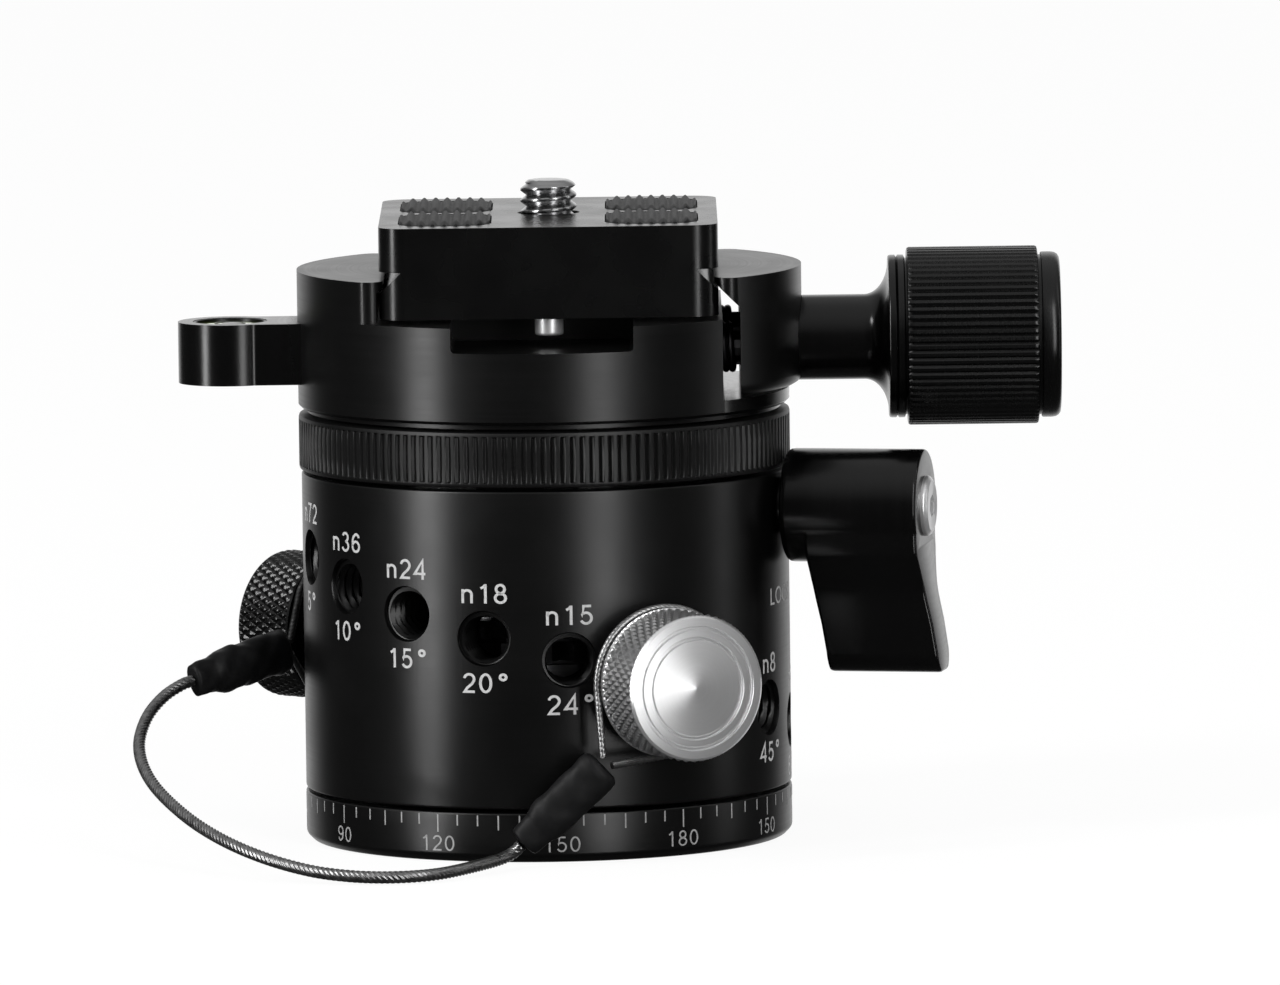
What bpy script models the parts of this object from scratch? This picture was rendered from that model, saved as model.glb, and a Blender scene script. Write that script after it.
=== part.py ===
"""Panning clamp: an indexing panoramic rotator with a quick-release clamp on top.

Metres, +Z up.  The origin is the centre of the base's underside, on the panning axis.
The camera plate slides along Y and the jaw knob points to +X.  The base stays still,
the head turns on it, and the clamp turns on the head.
"""

import math

import bmesh
import bpy
from mathutils import Matrix, Vector

MM = 0.001

# Values shared by all pieces
GAP = 0.3 * MM                      # clearance between neighbouring pieces
JOINT_LINE = 0.4 * MM               # visible joint line between turning rings
OVERRUN = 2.0 * MM                  # how far a cutter passes the face it cuts
MERGE = 0.01 * MM
THREAD_RADIUS = 2.85 * MM           # M6 threads, drawn plain
LARGE_STEPS = 40
MEDIUM_STEPS = 24
SMALL_STEPS = 12
FLAT_ANGLE = 0.5                    # faces this close to level with each other are one face

# Base with the degree scale
BODY_RADIUS = 27.5 * MM
BASE_HEIGHT = 5.6 * MM
BASE_EDGE = 0.8 * MM
SPIGOT_INSET = 5.5 * MM             # from the shell's bore to the spigot
BUSHING_RADIUS = 7.5 * MM
BUSHING_BORE = 4.0 * MM             # 3/8 inch camera thread
BUSHING_LENGTH = 8.0 * MM
BUSHING_FLANGE_RADIUS = 8.8 * MM
BUSHING_FLANGE = 1.2 * MM
DRUM_SCREW_INSET = 2.5 * MM         # from the spigot's face to the screws
DRUM_SCREW_RADIUS = 1.2 * MM
DRUM_SCREW_HEAD_RADIUS = 2.1 * MM
DRUM_SCREW_HEAD = 1.8 * MM
DRUM_SCREW_REACH = 5.0 * MM         # thread length inside the drum
DRUM_SCREW_COUNT = 3

# Head shell, thrust washers and the notched index drum
SHELL_HEIGHT = 35.7 * MM
SHELL_WALL = 7.5 * MM
SHELL_EDGE = 0.3 * MM
LEDGE_HEIGHT = 2.0 * MM             # inner ledge of the shell, trapped under the drum
WASHER = 0.7 * MM
WASHER_WIDTH = 3.6 * MM
DRUM_GAP = 0.5 * MM
DRUM_BORE = 5.0 * MM
NOTCH_DEPTH = 1.7 * MM
NOTCH_WIDTH = 2.4 * MM
GROOVE_DEPTH = 2.1 * MM             # plain grooves that part the notch rows
GROOVE_HEIGHT = 0.4 * MM
ROW_STEP = 2.46 * MM                # each hole lies this much lower than the one before
FIRST_HOLE_DROP = 9.1 * MM          # below the shell's top
FIRST_HOLE_ANGLE = -74.6            # from the front, positive to the right
HOLE_ANGLE_STEP = 20.0
NOTCH_COUNTS = (72, 36, 24, 18, 15, 12, 10, 8, 6, 4)
CHOSEN_COUNT = 12                   # the row that the detent sits in
ARC_STEP = 15.0                     # coarsest arc step between notches

# Head cap and the lock ring round it
CAP_RECESS_DEPTH = 0.8 * MM
CAP_INSET = 3.1 * MM                # from the shell's face to the cap
CAP_SCREW_INSET = 2.4 * MM
CAP_SCREW_RADIUS = 1.0 * MM
CAP_SCREW_HEAD_RADIUS = 1.7 * MM
CAP_SCREW_HEAD = 1.4 * MM
CAP_SCREW_REACH = 5.0 * MM          # thread length inside the shell
CAP_SCREW_COUNT = 4
CAP_SCREW_START = 40.0              # keeps the screws clear of the lock bore
RING_PROUD = 0.25 * MM              # the ring and the clamp stand out this far
RING_HEIGHT = 6.2 * MM
RING_EDGE = 0.35 * MM

# Clamp body
CLAMP_HEIGHT = 15.5 * MM
CLAMP_EDGE = 0.35 * MM
CLAMP_NECK_DEPTH = 0.95 * MM        # groove over the lock ring
CLAMP_FLANGE = 1.7 * MM             # disc that runs on under the jaw
CLAMP_WASHER = 0.7 * MM
CLAMP_WASHER_INSET = 2.4 * MM
CLAMP_WASHER_BORE = 8.0 * MM
PIVOT_RADIUS = 4.0 * MM             # M8 bolt
PIVOT_HEAD_RADIUS = 6.2 * MM
PIVOT_HEAD = 3.4 * MM
PIVOT_REACH = 7.2 * MM              # thread length in the cap
PIVOT_HEX_RADIUS = 3.0 * MM
PIVOT_HEX_DEPTH = 2.0 * MM
CHANNEL_DEPTH = 4.7 * MM
CHANNEL_SHIFT = 0.8 * MM            # the channel's middle lies this much towards the jaw
FACE_MARGIN = 0.4 * MM              # clamp body outside the plate's edge, at the jaw
LIP_HEIGHT = 0.5 * MM               # upright tip of each dovetail lip
LIP_CORNER = 1.6 * MM               # lip ends, rounded in plan
STOP_RECESS_WALL = 0.9 * MM         # between the recesses and the guide pins
STOP_RECESS_DEPTH = 2.8 * MM        # under the channel floor

# Movable jaw
JAW_GAP = 2.0 * MM                  # between the clamp body and the jaw
JAW_THICKNESS = 7.05 * MM           # from its inner face to the knob's side
JAW_EDGE = 1.2 * MM                 # rounded lower edge

# Level arm
ARM_RADIUS = 5.9 * MM
ARM_REACH = 35.35 * MM
ARM_HALF = 5.2 * MM
ARM_OVERLAP = 3.75 * MM             # how far the arm's root runs into the body
ARM_RISE = 2.8 * MM                 # above the clamp's underside
ARM_HEIGHT = 6.9 * MM
ARM_FILLET = 1.3 * MM
VIAL_RADIUS = 3.9 * MM
VIAL_DEPTH = 5.0 * MM

# Jaw knob, screw, guide pins and springs
KNOB_DROP = 8.5 * MM                # clamp top to the screw's axis
KNOB_SEAT_DEPTH = 2.3 * MM          # neck seat, in from the jaw's round face
KNOB_WASHER = 0.7 * MM
KNOB_NECK_RADIUS = 4.8 * MM
KNOB_NECK_LENGTH = 8.05 * MM
KNOB_FLARE = 2.7 * MM
KNOB_FLANGE_RADIUS = 9.2 * MM
KNOB_FLANGE = 2.1 * MM
KNOB_GRIP_RADIUS = 10.05 * MM
KNOB_GRIP = 14.8 * MM
KNOB_GRIP_EDGE = 0.3 * MM
KNOB_GROOVE = 0.35 * MM
KNOB_GROOVE_DEPTH = 1.0 * MM
KNOB_END_RADIUS = 9.35 * MM
KNOB_END = 2.15 * MM
KNOB_ROUND = 0.9 * MM
JAW_SCREW_RADIUS = 3.0 * MM         # M6
JAW_SCREW_ENGAGEMENT = 11.2 * MM
JAW_SCREW_GRIP = 10.0 * MM          # length of the screw inside the knob
GUIDE_SPACING = 10.4 * MM           # from the jaw screw to each guide pin
GUIDE_RADIUS = 1.75 * MM
GUIDE_SEAT = 9.0 * MM               # length of a guide pin inside the clamp body
GUIDE_REACH = 3.2 * MM              # length of a guide pin inside the jaw
SPRING_WIRE = 0.3 * MM              # radius of the wire
SPRING_RADIUS = 2.45 * MM
SPRING_POCKET = 6.0 * MM
SPRING_TURNS = 5
COIL_POINTS = 9

# Camera plate
PLATE_HALF_WIDTH = 19.0 * MM
PLATE_HALF_LENGTH = 20.3 * MM
PLATE_HEIGHT = 10.3 * MM
PLATE_CLEARANCE = 0.45 * MM         # over the channel floor
PLATE_SLAB = 4.95 * MM
PLATE_WAIST = 2.5 * MM              # how far the dovetail draws in
PLATE_CORNER = 3.0 * MM
PLATE_TRAVEL = 6.0 * MM
PAD_HALF_WIDTH = 5.1 * MM
PAD_MARGIN = 2.3 * MM               # from the plate's side
PAD_END = 3.0 * MM                  # from the plate's end
PAD_BASE = 0.5 * MM                 # rubber below the plate's top face
PAD_PROUD = 0.5 * MM
PAD_RIDGE = 0.4 * MM
PAD_RIDGE_PITCH = 1.3 * MM
PAD_RIDGE_WIDTH = 1.0 * MM
PAD_RIDGES = 7
PAD_SPLIT = 1.4 * MM                # between the front and the rear pad
PAD_CORNER = 3.6 * MM
CAMERA_SCREW_RADIUS = 3.175 * MM    # 1/4 inch camera screw
CAMERA_THREAD_DEPTH = 0.675 * MM
CAMERA_SCREW_PITCH = 1.27 * MM
CAMERA_SCREW_THREADS = 3
CAMERA_SCREW_PROUD = 3.75 * MM      # above the plate's top face
CAMERA_HEAD_RADIUS = 6.5 * MM
CAMERA_HEAD = 2.2 * MM
CAMERA_SLOT_WIDTH = 1.6 * MM
CAMERA_SLOT_DEPTH = 1.2 * MM
STOP_RADIUS = 1.6 * MM
STOP_PROUD = 2.0 * MM
STOP_DEPTH = 3.0 * MM
STOP_INSET = 2.6 * MM               # from the plate's end to the pin's centre

# Lock lever
LEVER_ANGLE = 78.0
LEVER_DROP = 4.0 * MM               # below the shell's top
HUB_RADIUS = 6.4 * MM
HUB_CLEARANCE = 0.6 * MM            # between the shell and the hub
HUB_LENGTH = 15.7 * MM
HUB_EDGE = 0.6 * MM
PADDLE_DEPTH = 12.8 * MM            # radial thickness of the paddle
PADDLE_LENGTH = 18.7 * MM           # hub axis to the paddle's tip
PADDLE_BEND = 5.2 * MM              # where the paddle starts to slant out
PADDLE_SLANT = 2.1 * MM
PADDLE_SIDE_SHARES = (              # shares of the hub's radius and of the paddle's length
    (0.92, 0.0), (0.92, 0.245), (0.84, 0.315), (0.725, 0.40), (0.61, 0.51), (0.57, 0.70),
)
PADDLE_TIP = 3.5 * MM               # half width at the tip
PADDLE_ROUND = 2.4 * MM
PADDLE_EDGE = 0.4 * MM
STUD_GRIP = 9.5 * MM
LEVER_SCREW_RADIUS = 1.6 * MM
LEVER_SCREW_DEPTH = 5.0 * MM
LEVER_HEAD_RADIUS = 3.4 * MM
LEVER_HEAD = 2.4 * MM
LEVER_HEAD_SEAT = 1.6 * MM          # how deep the head's seat lies in the hub
HEX_RADIUS = 1.7 * MM
HEX_DEPTH = 1.4 * MM
SHOE_THICKNESS = 1.2 * MM           # brake pad and drag shoe

# Detent knob and drag knob
DETENT_KNOB_RADIUS = 8.3 * MM
SIDE_KNOB_LENGTH = 7.7 * MM
SIDE_KNOB_EDGE = 0.5 * MM
SIDE_NECK_RADIUS = 4.0 * MM
SIDE_NECK_LENGTH = 3.5 * MM
SIDE_NECK_GAP = 0.4 * MM            # between the shell and the knob's neck
SLEEVE_GRIP = 4.6 * MM              # thread length inside the knob's grip
SLEEVE_CLEARANCE = 0.4 * MM         # round the pin
PIN_RADIUS = 1.4 * MM
PIN_TIP_RADIUS = 0.35 * MM
PIN_LENGTH = 9.5 * MM
DETENT_SPRING_INSET = 0.2 * MM      # from the pin's face to the wire's centre
DETENT_SPRING_WIRE = 0.22 * MM
DETENT_SPRING_TURNS = 6
DRAG_ANGLE = -129.0
DRAG_DROP = 19.9 * MM               # below the shell's top
DRAG_KNOB_RADIUS = 8.4 * MM

# Lanyard: steel cable with a crimped eye round the neck of each side knob
CABLE_RADIUS = 0.7 * MM
EYE_WIRE = 0.42 * MM
EYE_PROUD = 0.2 * MM                # the eye's circle outside the knob's grip
EYE_LEG = 0.72 * MM                 # half the distance between an eye's two legs
EYE_STEPS = 18
CRIMP_RADIUS = 2.65 * MM
CRIMP_DEPTH_SHARE = 0.62            # the crimp is pressed flat to this share
CRIMP_SHARES = (                    # shares of radius and of length, from the cable's end
    (0.0, 1.0), (0.56, 1.0), (0.76, 0.97), (0.80, 0.90), (0.82, 0.80), (0.94, 0.76),
    (1.0, 0.70), (1.0, 0.05), (0.84, 0.0), (0.0, 0.0),
)
CABLE_STEPS = 2                     # tube points on each stretch of the route
CABLE_ROUTE = (                     # in mm; the first and the last stretch run inside the crimps
    (6.2, -31.6, 11.3), (-2.8, -31.5, 2.8), (-4.05, -31.5, 1.65), (-5.5, -33.4, 1.2),
    (-8.4, -38.0, 1.0), (-11.6, -42.1, 0.85), (-14.8, -44.2, 0.8), (-18.5, -44.7, 0.8),
    (-22.3, -44.1, 0.95), (-26.4, -42.6, 1.4), (-31.0, -40.0, 2.4), (-35.3, -36.0, 3.7),
    (-39.0, -30.9, 5.2), (-42.0, -25.5, 6.9), (-44.2, -20.6, 8.6), (-45.5, -16.2, 10.3),
    (-46.0, -12.2, 12.0), (-45.7, -8.7, 13.6), (-44.8, -5.9, 15.2), (-43.2, -3.4, 16.7),
    (-41.33, -1.64, 17.71), (-40.1, -0.5, 18.0), (-29.8, 9.0, 20.4),
)

for old_object in list(bpy.data.objects):
    bpy.data.objects.remove(old_object)

PARTS = bpy.data.collections.new("panning_clamp")
CUTTERS = bpy.data.collections.new("cutters")
bpy.context.scene.collection.children.link(PARTS)
bpy.context.scene.collection.children.link(CUTTERS)

FINISHES = {
    "black": ((0.022, 0.022, 0.023), 0.42, 0.6),
    "steel": ((0.62, 0.62, 0.63), 0.25, 1.0),
    "silver": ((0.80, 0.80, 0.80), 0.30, 1.0),
    "brass": ((0.66, 0.50, 0.24), 0.35, 1.0),
    "nylon": ((0.80, 0.79, 0.74), 0.55, 0.0),
    "rubber": ((0.075, 0.075, 0.078), 0.80, 0.0),
    "vial": ((0.70, 0.86, 0.30), 0.08, 0.0),
    "cable": ((0.10, 0.10, 0.10), 0.38, 0.5),
    "shrink": ((0.015, 0.015, 0.015), 0.60, 0.0),
}

# Heights and radii that follow from the values above
SHELL_BORE = BODY_RADIUS - SHELL_WALL
SHELL_BOTTOM = BASE_HEIGHT + JOINT_LINE
SHELL_TOP = SHELL_BOTTOM + SHELL_HEIGHT
SPIGOT_RADIUS = SHELL_BORE - SPIGOT_INSET
DRUM_SCREW_CIRCLE = SPIGOT_RADIUS - DRUM_SCREW_INSET
LEDGE_TOP = SHELL_BOTTOM + LEDGE_HEIGHT
LEDGE_BORE = SPIGOT_RADIUS + GAP
SPIGOT_TOP = LEDGE_TOP + GAP + WASHER
DRUM_BOTTOM = SPIGOT_TOP + GAP
DRUM_RADIUS = SHELL_BORE - DRUM_GAP
CAP_SEAT = SHELL_TOP - CAP_RECESS_DEPTH
DRUM_TOP = CAP_SEAT - GAP
CAP_RADIUS = BODY_RADIUS - CAP_INSET
CAP_SCREW_CIRCLE = CAP_RADIUS - CAP_SCREW_INSET
RING_RADIUS = BODY_RADIUS + RING_PROUD
RING_BOTTOM = SHELL_TOP + JOINT_LINE
RING_TOP = RING_BOTTOM + RING_HEIGHT
CAP_TOP = RING_TOP + GAP
CLAMP_BOTTOM = RING_TOP + 2 * JOINT_LINE
CLAMP_RADIUS = RING_RADIUS
CLAMP_TOP = CLAMP_BOTTOM + CLAMP_HEIGHT
CLAMP_NECK_RADIUS = CLAMP_RADIUS - CLAMP_NECK_DEPTH
CLAMP_WASHER_RADIUS = CAP_RADIUS - CLAMP_WASHER_INSET
CLAMP_SEAT = CAP_TOP + 2 * GAP + CLAMP_WASHER
CHANNEL_FLOOR = CLAMP_TOP - CHANNEL_DEPTH
BODY_FACE = CHANNEL_SHIFT + PLATE_HALF_WIDTH + FACE_MARGIN
STOP_RECESS_HALF = BODY_FACE - GUIDE_SEAT - STOP_RECESS_WALL
JAW_FACE = BODY_FACE + JAW_GAP
JAW_SHIFT = JAW_FACE + JAW_THICKNESS - CLAMP_RADIUS
JAW_BOTTOM = CLAMP_BOTTOM + CLAMP_FLANGE + GAP
KNOB_HEIGHT = CLAMP_TOP - KNOB_DROP
PLATE_BOTTOM = CHANNEL_FLOOR + PLATE_CLEARANCE
PLATE_TOP = PLATE_BOTTOM + PLATE_HEIGHT
SLAB_BOTTOM = PLATE_TOP - PLATE_SLAB
SHOULDER = SLAB_BOTTOM - PLATE_WAIST
SLOPE_SUM = PLATE_HALF_WIDTH + SHOULDER + GAP * math.sqrt(2)
LIP_TIP = SLOPE_SUM - (CLAMP_TOP - LIP_HEIGHT)
STOP_Y = PLATE_HALF_LENGTH - STOP_INSET
PAD_LENGTH = PLATE_HALF_LENGTH - PAD_END - PAD_SPLIT / 2
PAD_CENTRE = PLATE_HALF_WIDTH - PAD_MARGIN - PAD_HALF_WIDTH
CAMERA_SCREW_CORE = CAMERA_SCREW_RADIUS - CAMERA_THREAD_DEPTH
ARM_ROOT = CLAMP_RADIUS - ARM_OVERLAP
ARM_BOTTOM = CLAMP_BOTTOM + ARM_RISE
ARM_TOP = ARM_BOTTOM + ARM_HEIGHT
BORE_RADIUS = THREAD_RADIUS + GAP
HUB_START = BODY_RADIUS + HUB_CLEARANCE
HUB_END = HUB_START + HUB_LENGTH
LEVER_HEIGHT = SHELL_TOP - LEVER_DROP
DRAG_HEIGHT = SHELL_TOP - DRAG_DROP
SIDE_GRIP = BODY_RADIUS + SIDE_NECK_GAP + SIDE_NECK_LENGTH
EYE_PLANE = SIDE_GRIP - GAP - EYE_WIRE
SHOE_RADIUS = THREAD_RADIUS - GAP
CHOSEN_HOLE = NOTCH_COUNTS.index(CHOSEN_COUNT)
CORE_RADIUS = DRUM_RADIUS - GROOVE_DEPTH


def hole_angle(index):
    """Angle from the front of one index hole."""
    return FIRST_HOLE_ANGLE + HOLE_ANGLE_STEP * index


def hole_height(index):
    """Height of one index hole and of its notch row."""
    return SHELL_TOP - FIRST_HOLE_DROP - ROW_STEP * index


def new_material(name, color, roughness, metallic):
    """Make one Principled material."""
    material = bpy.data.materials.new(name)
    material.use_nodes = True
    shader = material.node_tree.nodes["Principled BSDF"]
    shader.inputs["Base Color"].default_value = (*color, 1.0)
    shader.inputs["Roughness"].default_value = roughness
    shader.inputs["Metallic"].default_value = metallic
    return material


def add_part(name, data, kind, frame=None):
    """Link a mesh or curve as a named part with its own material, under its frame."""
    obj = bpy.data.objects.new(name, data)
    PARTS.objects.link(obj)
    if frame is not None:
        obj.parent = frame
    obj.data.materials.append(new_material(name, *FINISHES[kind]))
    return obj


def add_frame(name, matrix, parent=None):
    """Add the empty on a joint's axis that carries a moving group."""
    empty = bpy.data.objects.new(name, None)
    PARTS.objects.link(empty)
    if parent is not None:
        empty.parent = parent
    bpy.context.view_layer.update()
    empty.matrix_world = matrix
    bpy.context.view_layer.update()
    return empty


def radial_matrix(angle, height):
    """Frame on the panning axis: X along the tangent, Y up, Z outwards at this angle."""
    turn = math.radians(angle)
    tangent = Vector((math.cos(turn), math.sin(turn), 0.0))
    outward = Vector((math.sin(turn), -math.cos(turn), 0.0))
    matrix = Matrix((tangent, Vector((0.0, 0.0, 1.0)), outward)).transposed().to_4x4()
    matrix.translation = (0.0, 0.0, height)
    return matrix


def side_matrix(y=0.0):
    """Frame along the jaw screw's height: Z runs along +X, X to the rear and Y up."""
    matrix = Matrix(((0.0, 0.0, 1.0), (1.0, 0.0, 0.0), (0.0, 1.0, 0.0))).to_4x4()
    matrix.translation = (0.0, y, KNOB_HEIGHT)
    return matrix


def upright(x=0.0, y=0.0, z=0.0):
    """Upright frame at a place."""
    return Matrix.Translation((x, y, z))


def rod(steps, bottom):
    """Profile of a stepped rod, top down: (radius, top height) for each step."""
    profile = [(0.0, steps[0][1])]
    lows = [top for radius, top in steps[1:]] + [bottom]
    for (radius, top), low in zip(steps, lows):
        profile += [(radius, top), (radius, low)]
    return profile + [(0.0, bottom)]


def tube(steps, bottom, bore):
    """Profile of a stepped tube with a straight bore."""
    return rod(steps, bottom)[1:-1] + [(bore, bottom), (bore, steps[0][1])]


def profile_mesh(name, profile):
    """Profile of (radius, height) points; it closes on itself unless it ends on the axis."""
    points = [(radius, 0.0, height) for radius, height in profile]
    edges = [(index, index + 1) for index in range(len(points) - 1)]
    if profile[0][0] > 0 and profile[-1][0] > 0:
        edges.append((len(points) - 1, 0))
    mesh = bpy.data.meshes.new(name)
    mesh.from_pydata(points, edges, [])
    return mesh


def turn_profile(obj, steps):
    """Screw a profile all the way round local Z."""
    screw = obj.modifiers.new("turning", "SCREW")
    screw.axis = "Z"
    screw.steps = steps
    screw.render_steps = steps
    screw.use_merge_vertices = True
    screw.merge_threshold = MERGE
    screw.use_smooth_shade = True


def add_turned(name, profile, kind, steps, frame=None):
    """Turned part about the frame's Z."""
    obj = add_part(name, profile_mesh(name, profile), kind, frame)
    turn_profile(obj, steps)
    return obj


def evaluated_mesh(obj):
    """Mesh of an object with its modifiers applied."""
    bpy.context.view_layer.update()
    graph = bpy.context.evaluated_depsgraph_get()
    return bpy.data.meshes.new_from_object(obj.evaluated_get(graph))


def place(obj, matrix):
    """Put a cutter where the matrix says and keep it out of the model."""
    for collection in list(obj.users_collection):
        collection.objects.unlink(obj)
    CUTTERS.objects.link(obj)
    obj.matrix_world = matrix
    obj.hide_render = True
    obj.display_type = "WIRE"
    return obj


def cut_rod(matrix, radius, low, high, steps=SMALL_STEPS):
    """Round cutter along the matrix's Z from low to high."""
    bpy.ops.mesh.primitive_cylinder_add(vertices=steps, radius=radius, depth=high - low)
    return place(bpy.context.object, matrix @ upright(z=(low + high) / 2))


def cut_turned(matrix, profile, steps=SMALL_STEPS):
    """Turned cutter about the matrix's Z."""
    obj = place(bpy.data.objects.new("turned_cutter", profile_mesh("turned_cutter", profile)), matrix)
    turn_profile(obj, steps)
    return obj


def cut_box(low, high):
    """Box cutter between two corners."""
    bpy.ops.mesh.primitive_cube_add(size=1)
    obj = bpy.context.object
    size = [b - a for a, b in zip(low, high)]
    obj.data.transform(Matrix.Diagonal((*size, 1.0)))
    return place(obj, upright(*((a + b) / 2 for a, b in zip(low, high))))


def weld_mesh(mesh):
    """Join the loose caps of a mesh made from a curve and make each flat cap one face."""
    work = bmesh.new()
    work.from_mesh(mesh)
    bmesh.ops.remove_doubles(work, verts=work.verts, dist=MERGE)
    bmesh.ops.dissolve_limit(work, angle_limit=math.radians(FLAT_ANGLE), verts=work.verts, edges=work.edges)
    bmesh.ops.recalc_face_normals(work, faces=work.faces)
    work.to_mesh(mesh)
    work.free()


def prism_mesh(name, outline, low, high):
    """Flat outline in XY, given a thickness from low to high along Z."""
    curve = bpy.data.curves.new(name, "CURVE")
    curve.dimensions = "2D"
    curve.fill_mode = "BOTH"
    curve.extrude = (high - low) / 2
    spline = curve.splines.new("POLY")
    spline.points.add(len(outline) - 1)
    spline.use_cyclic_u = True
    for point, (x, y) in zip(spline.points, outline):
        point.co = (x, y, 0.0, 1.0)
    holder = bpy.data.objects.new(name, curve)
    CUTTERS.objects.link(holder)
    mesh = evaluated_mesh(holder)
    bpy.data.objects.remove(holder)
    mesh.transform(upright(z=(low + high) / 2))
    weld_mesh(mesh)
    return mesh


def cut_prism(outline, low, high, matrix=None):
    """Cutter from a flat outline."""
    mesh = prism_mesh("prism_cutter", outline, low, high)
    return place(bpy.data.objects.new("prism_cutter", mesh), matrix or Matrix.Identity(4))


def combine(obj, others, operation="DIFFERENCE"):
    """Cut, join or intersect a part with each of the others."""
    for other in others:
        step = obj.modifiers.new(operation.lower(), "BOOLEAN")
        step.operation = operation
        step.object = other
        step.solver = "EXACT"


def shade(obj):
    """Smooth shading with sharp corners kept."""
    obj.data.shade_smooth()
    obj.data.set_sharp_from_angle(angle=math.radians(30))


def arc(centre, radius, start, end, count):
    """Points on an arc, angles in degrees."""
    points = []
    for index in range(count + 1):
        turn = math.radians(start + (end - start) * index / count)
        points.append((centre[0] + radius * math.cos(turn), centre[1] + radius * math.sin(turn)))
    return points


def rounded_box(half_x, half_y, corner, count=4):
    """Rectangle outline with round corners."""
    points = []
    for x_side, y_side, start in ((1, 1, 0), (-1, 1, 90), (-1, -1, 180), (1, -1, 270)):
        centre = (x_side * (half_x - corner), y_side * (half_y - corner))
        points += arc(centre, corner, start, start + 90, count)
    return points


def add_copies(name, mesh, places, kind, frame=None):
    """Numbered parts of one shape, one at each place."""
    for index, matrix in enumerate(places):
        copy = add_part(f"{name}_{index + 1}", mesh.copy(), kind, frame)
        copy.matrix_local = matrix


def circle_places(count, radius, start=0.0):
    """Upright frames spaced round the panning axis."""
    places = []
    for index in range(count):
        turn = math.radians(start + index * 360 / count)
        places.append(upright(radius * math.sin(turn), -radius * math.cos(turn)))
    return places


def turned_mesh(profile, steps):
    """Evaluated mesh of a turned profile."""
    holder = cut_turned(Matrix.Identity(4), profile, steps)
    mesh = evaluated_mesh(holder)
    bpy.data.objects.remove(holder)
    return mesh


def add_wire(name, points, radius, kind, resolution=2, frame=None):
    """Wire along a list of points."""
    curve = bpy.data.curves.new(name, "CURVE")
    curve.dimensions = "3D"
    curve.bevel_depth = radius
    curve.bevel_resolution = resolution
    curve.use_fill_caps = True
    spline = curve.splines.new("POLY")
    spline.points.add(len(points) - 1)
    for point, (x, y, z) in zip(spline.points, points):
        point.co = (x, y, z, 1.0)
    return add_part(name, curve, kind, frame)


def add_spring(name, radius, wire, turns, low, high, frame):
    """Compression spring along the frame's Z, as one unbroken helix."""
    count = turns * COIL_POINTS
    points = []
    for index in range(count + 1):
        turn = 2 * math.pi * index / COIL_POINTS
        height = low + wire + (high - low - 2 * wire) * index / count
        points.append((radius * math.cos(turn), radius * math.sin(turn), height))
    gap = (Vector(points[COIL_POINTS]) - Vector(points[0])).length - 2 * wire
    print(name, "least gap between turns in mm:", round(gap / MM, 2))
    return add_wire(name, points, wire, "steel", 1, frame)


def make_base():
    """Scale ring with its spigot, the tripod bushing, thrust washers and drum screws."""
    washer_outer = LEDGE_BORE + WASHER_WIDTH
    washer_top = SHELL_BOTTOM - GAP
    washer_floor = washer_top - WASHER - GAP
    flange_seat = BUSHING_FLANGE + GAP
    base = add_turned("base_ring", [
        (SPIGOT_RADIUS, SPIGOT_TOP), (SPIGOT_RADIUS, washer_floor),
        (washer_outer + GAP, washer_floor), (washer_outer + GAP, BASE_HEIGHT),
        (BODY_RADIUS - SHELL_EDGE, BASE_HEIGHT), (BODY_RADIUS, BASE_HEIGHT - SHELL_EDGE),
        (BODY_RADIUS, BASE_EDGE), (BODY_RADIUS - BASE_EDGE, 0.0),
        (BUSHING_FLANGE_RADIUS + GAP, 0.0), (BUSHING_FLANGE_RADIUS + GAP, flange_seat),
        (BUSHING_RADIUS + GAP, flange_seat), (BUSHING_RADIUS + GAP, SPIGOT_TOP),
    ], "black", LARGE_STEPS)
    add_turned("tripod_bushing", tube([(BUSHING_RADIUS, BUSHING_LENGTH),
                                       (BUSHING_FLANGE_RADIUS, BUSHING_FLANGE)], 0.0, BUSHING_BORE),
               "brass", MEDIUM_STEPS)
    add_turned("lower_washer", tube([(washer_outer, washer_top)], washer_top - WASHER, LEDGE_BORE),
               "nylon", MEDIUM_STEPS)
    add_turned("upper_washer", tube([(washer_outer, LEDGE_TOP + GAP + WASHER)], LEDGE_TOP + GAP, LEDGE_BORE),
               "nylon", MEDIUM_STEPS)
    places = circle_places(DRUM_SCREW_COUNT, DRUM_SCREW_CIRCLE)
    head_top = GAP + DRUM_SCREW_HEAD
    screw = turned_mesh(rod([(DRUM_SCREW_RADIUS, DRUM_BOTTOM + DRUM_SCREW_REACH),
                             (DRUM_SCREW_HEAD_RADIUS, head_top)], GAP), SMALL_STEPS)
    add_copies("drum_screw", screw, places, "steel")
    hole = rod([(DRUM_SCREW_RADIUS + GAP, SPIGOT_TOP + OVERRUN),
                (DRUM_SCREW_HEAD_RADIUS + GAP, head_top + GAP)], -OVERRUN)
    combine(base, [cut_turned(matrix, hole) for matrix in places])


def notched_outline(count, angle):
    """Round outline with V notches, one of them at the given angle from the front."""
    pitch = 360 / count
    half = math.degrees(math.asin(NOTCH_WIDTH / 2 / DRUM_RADIUS))
    points = []
    for index in range(count):
        centre = angle - 90 + index * pitch
        points += arc((0, 0), DRUM_RADIUS - NOTCH_DEPTH, centre, centre, 1)[:1]
        if half < pitch / 2:
            flank = pitch - 2 * half
            points += arc((0, 0), DRUM_RADIUS, centre + half, centre + half + flank,
                          max(1, round(flank / ARC_STEP)))
        else:
            points += arc((0, 0), DRUM_RADIUS, centre + pitch / 2, centre + pitch / 2, 1)[:1]
    return points


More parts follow.
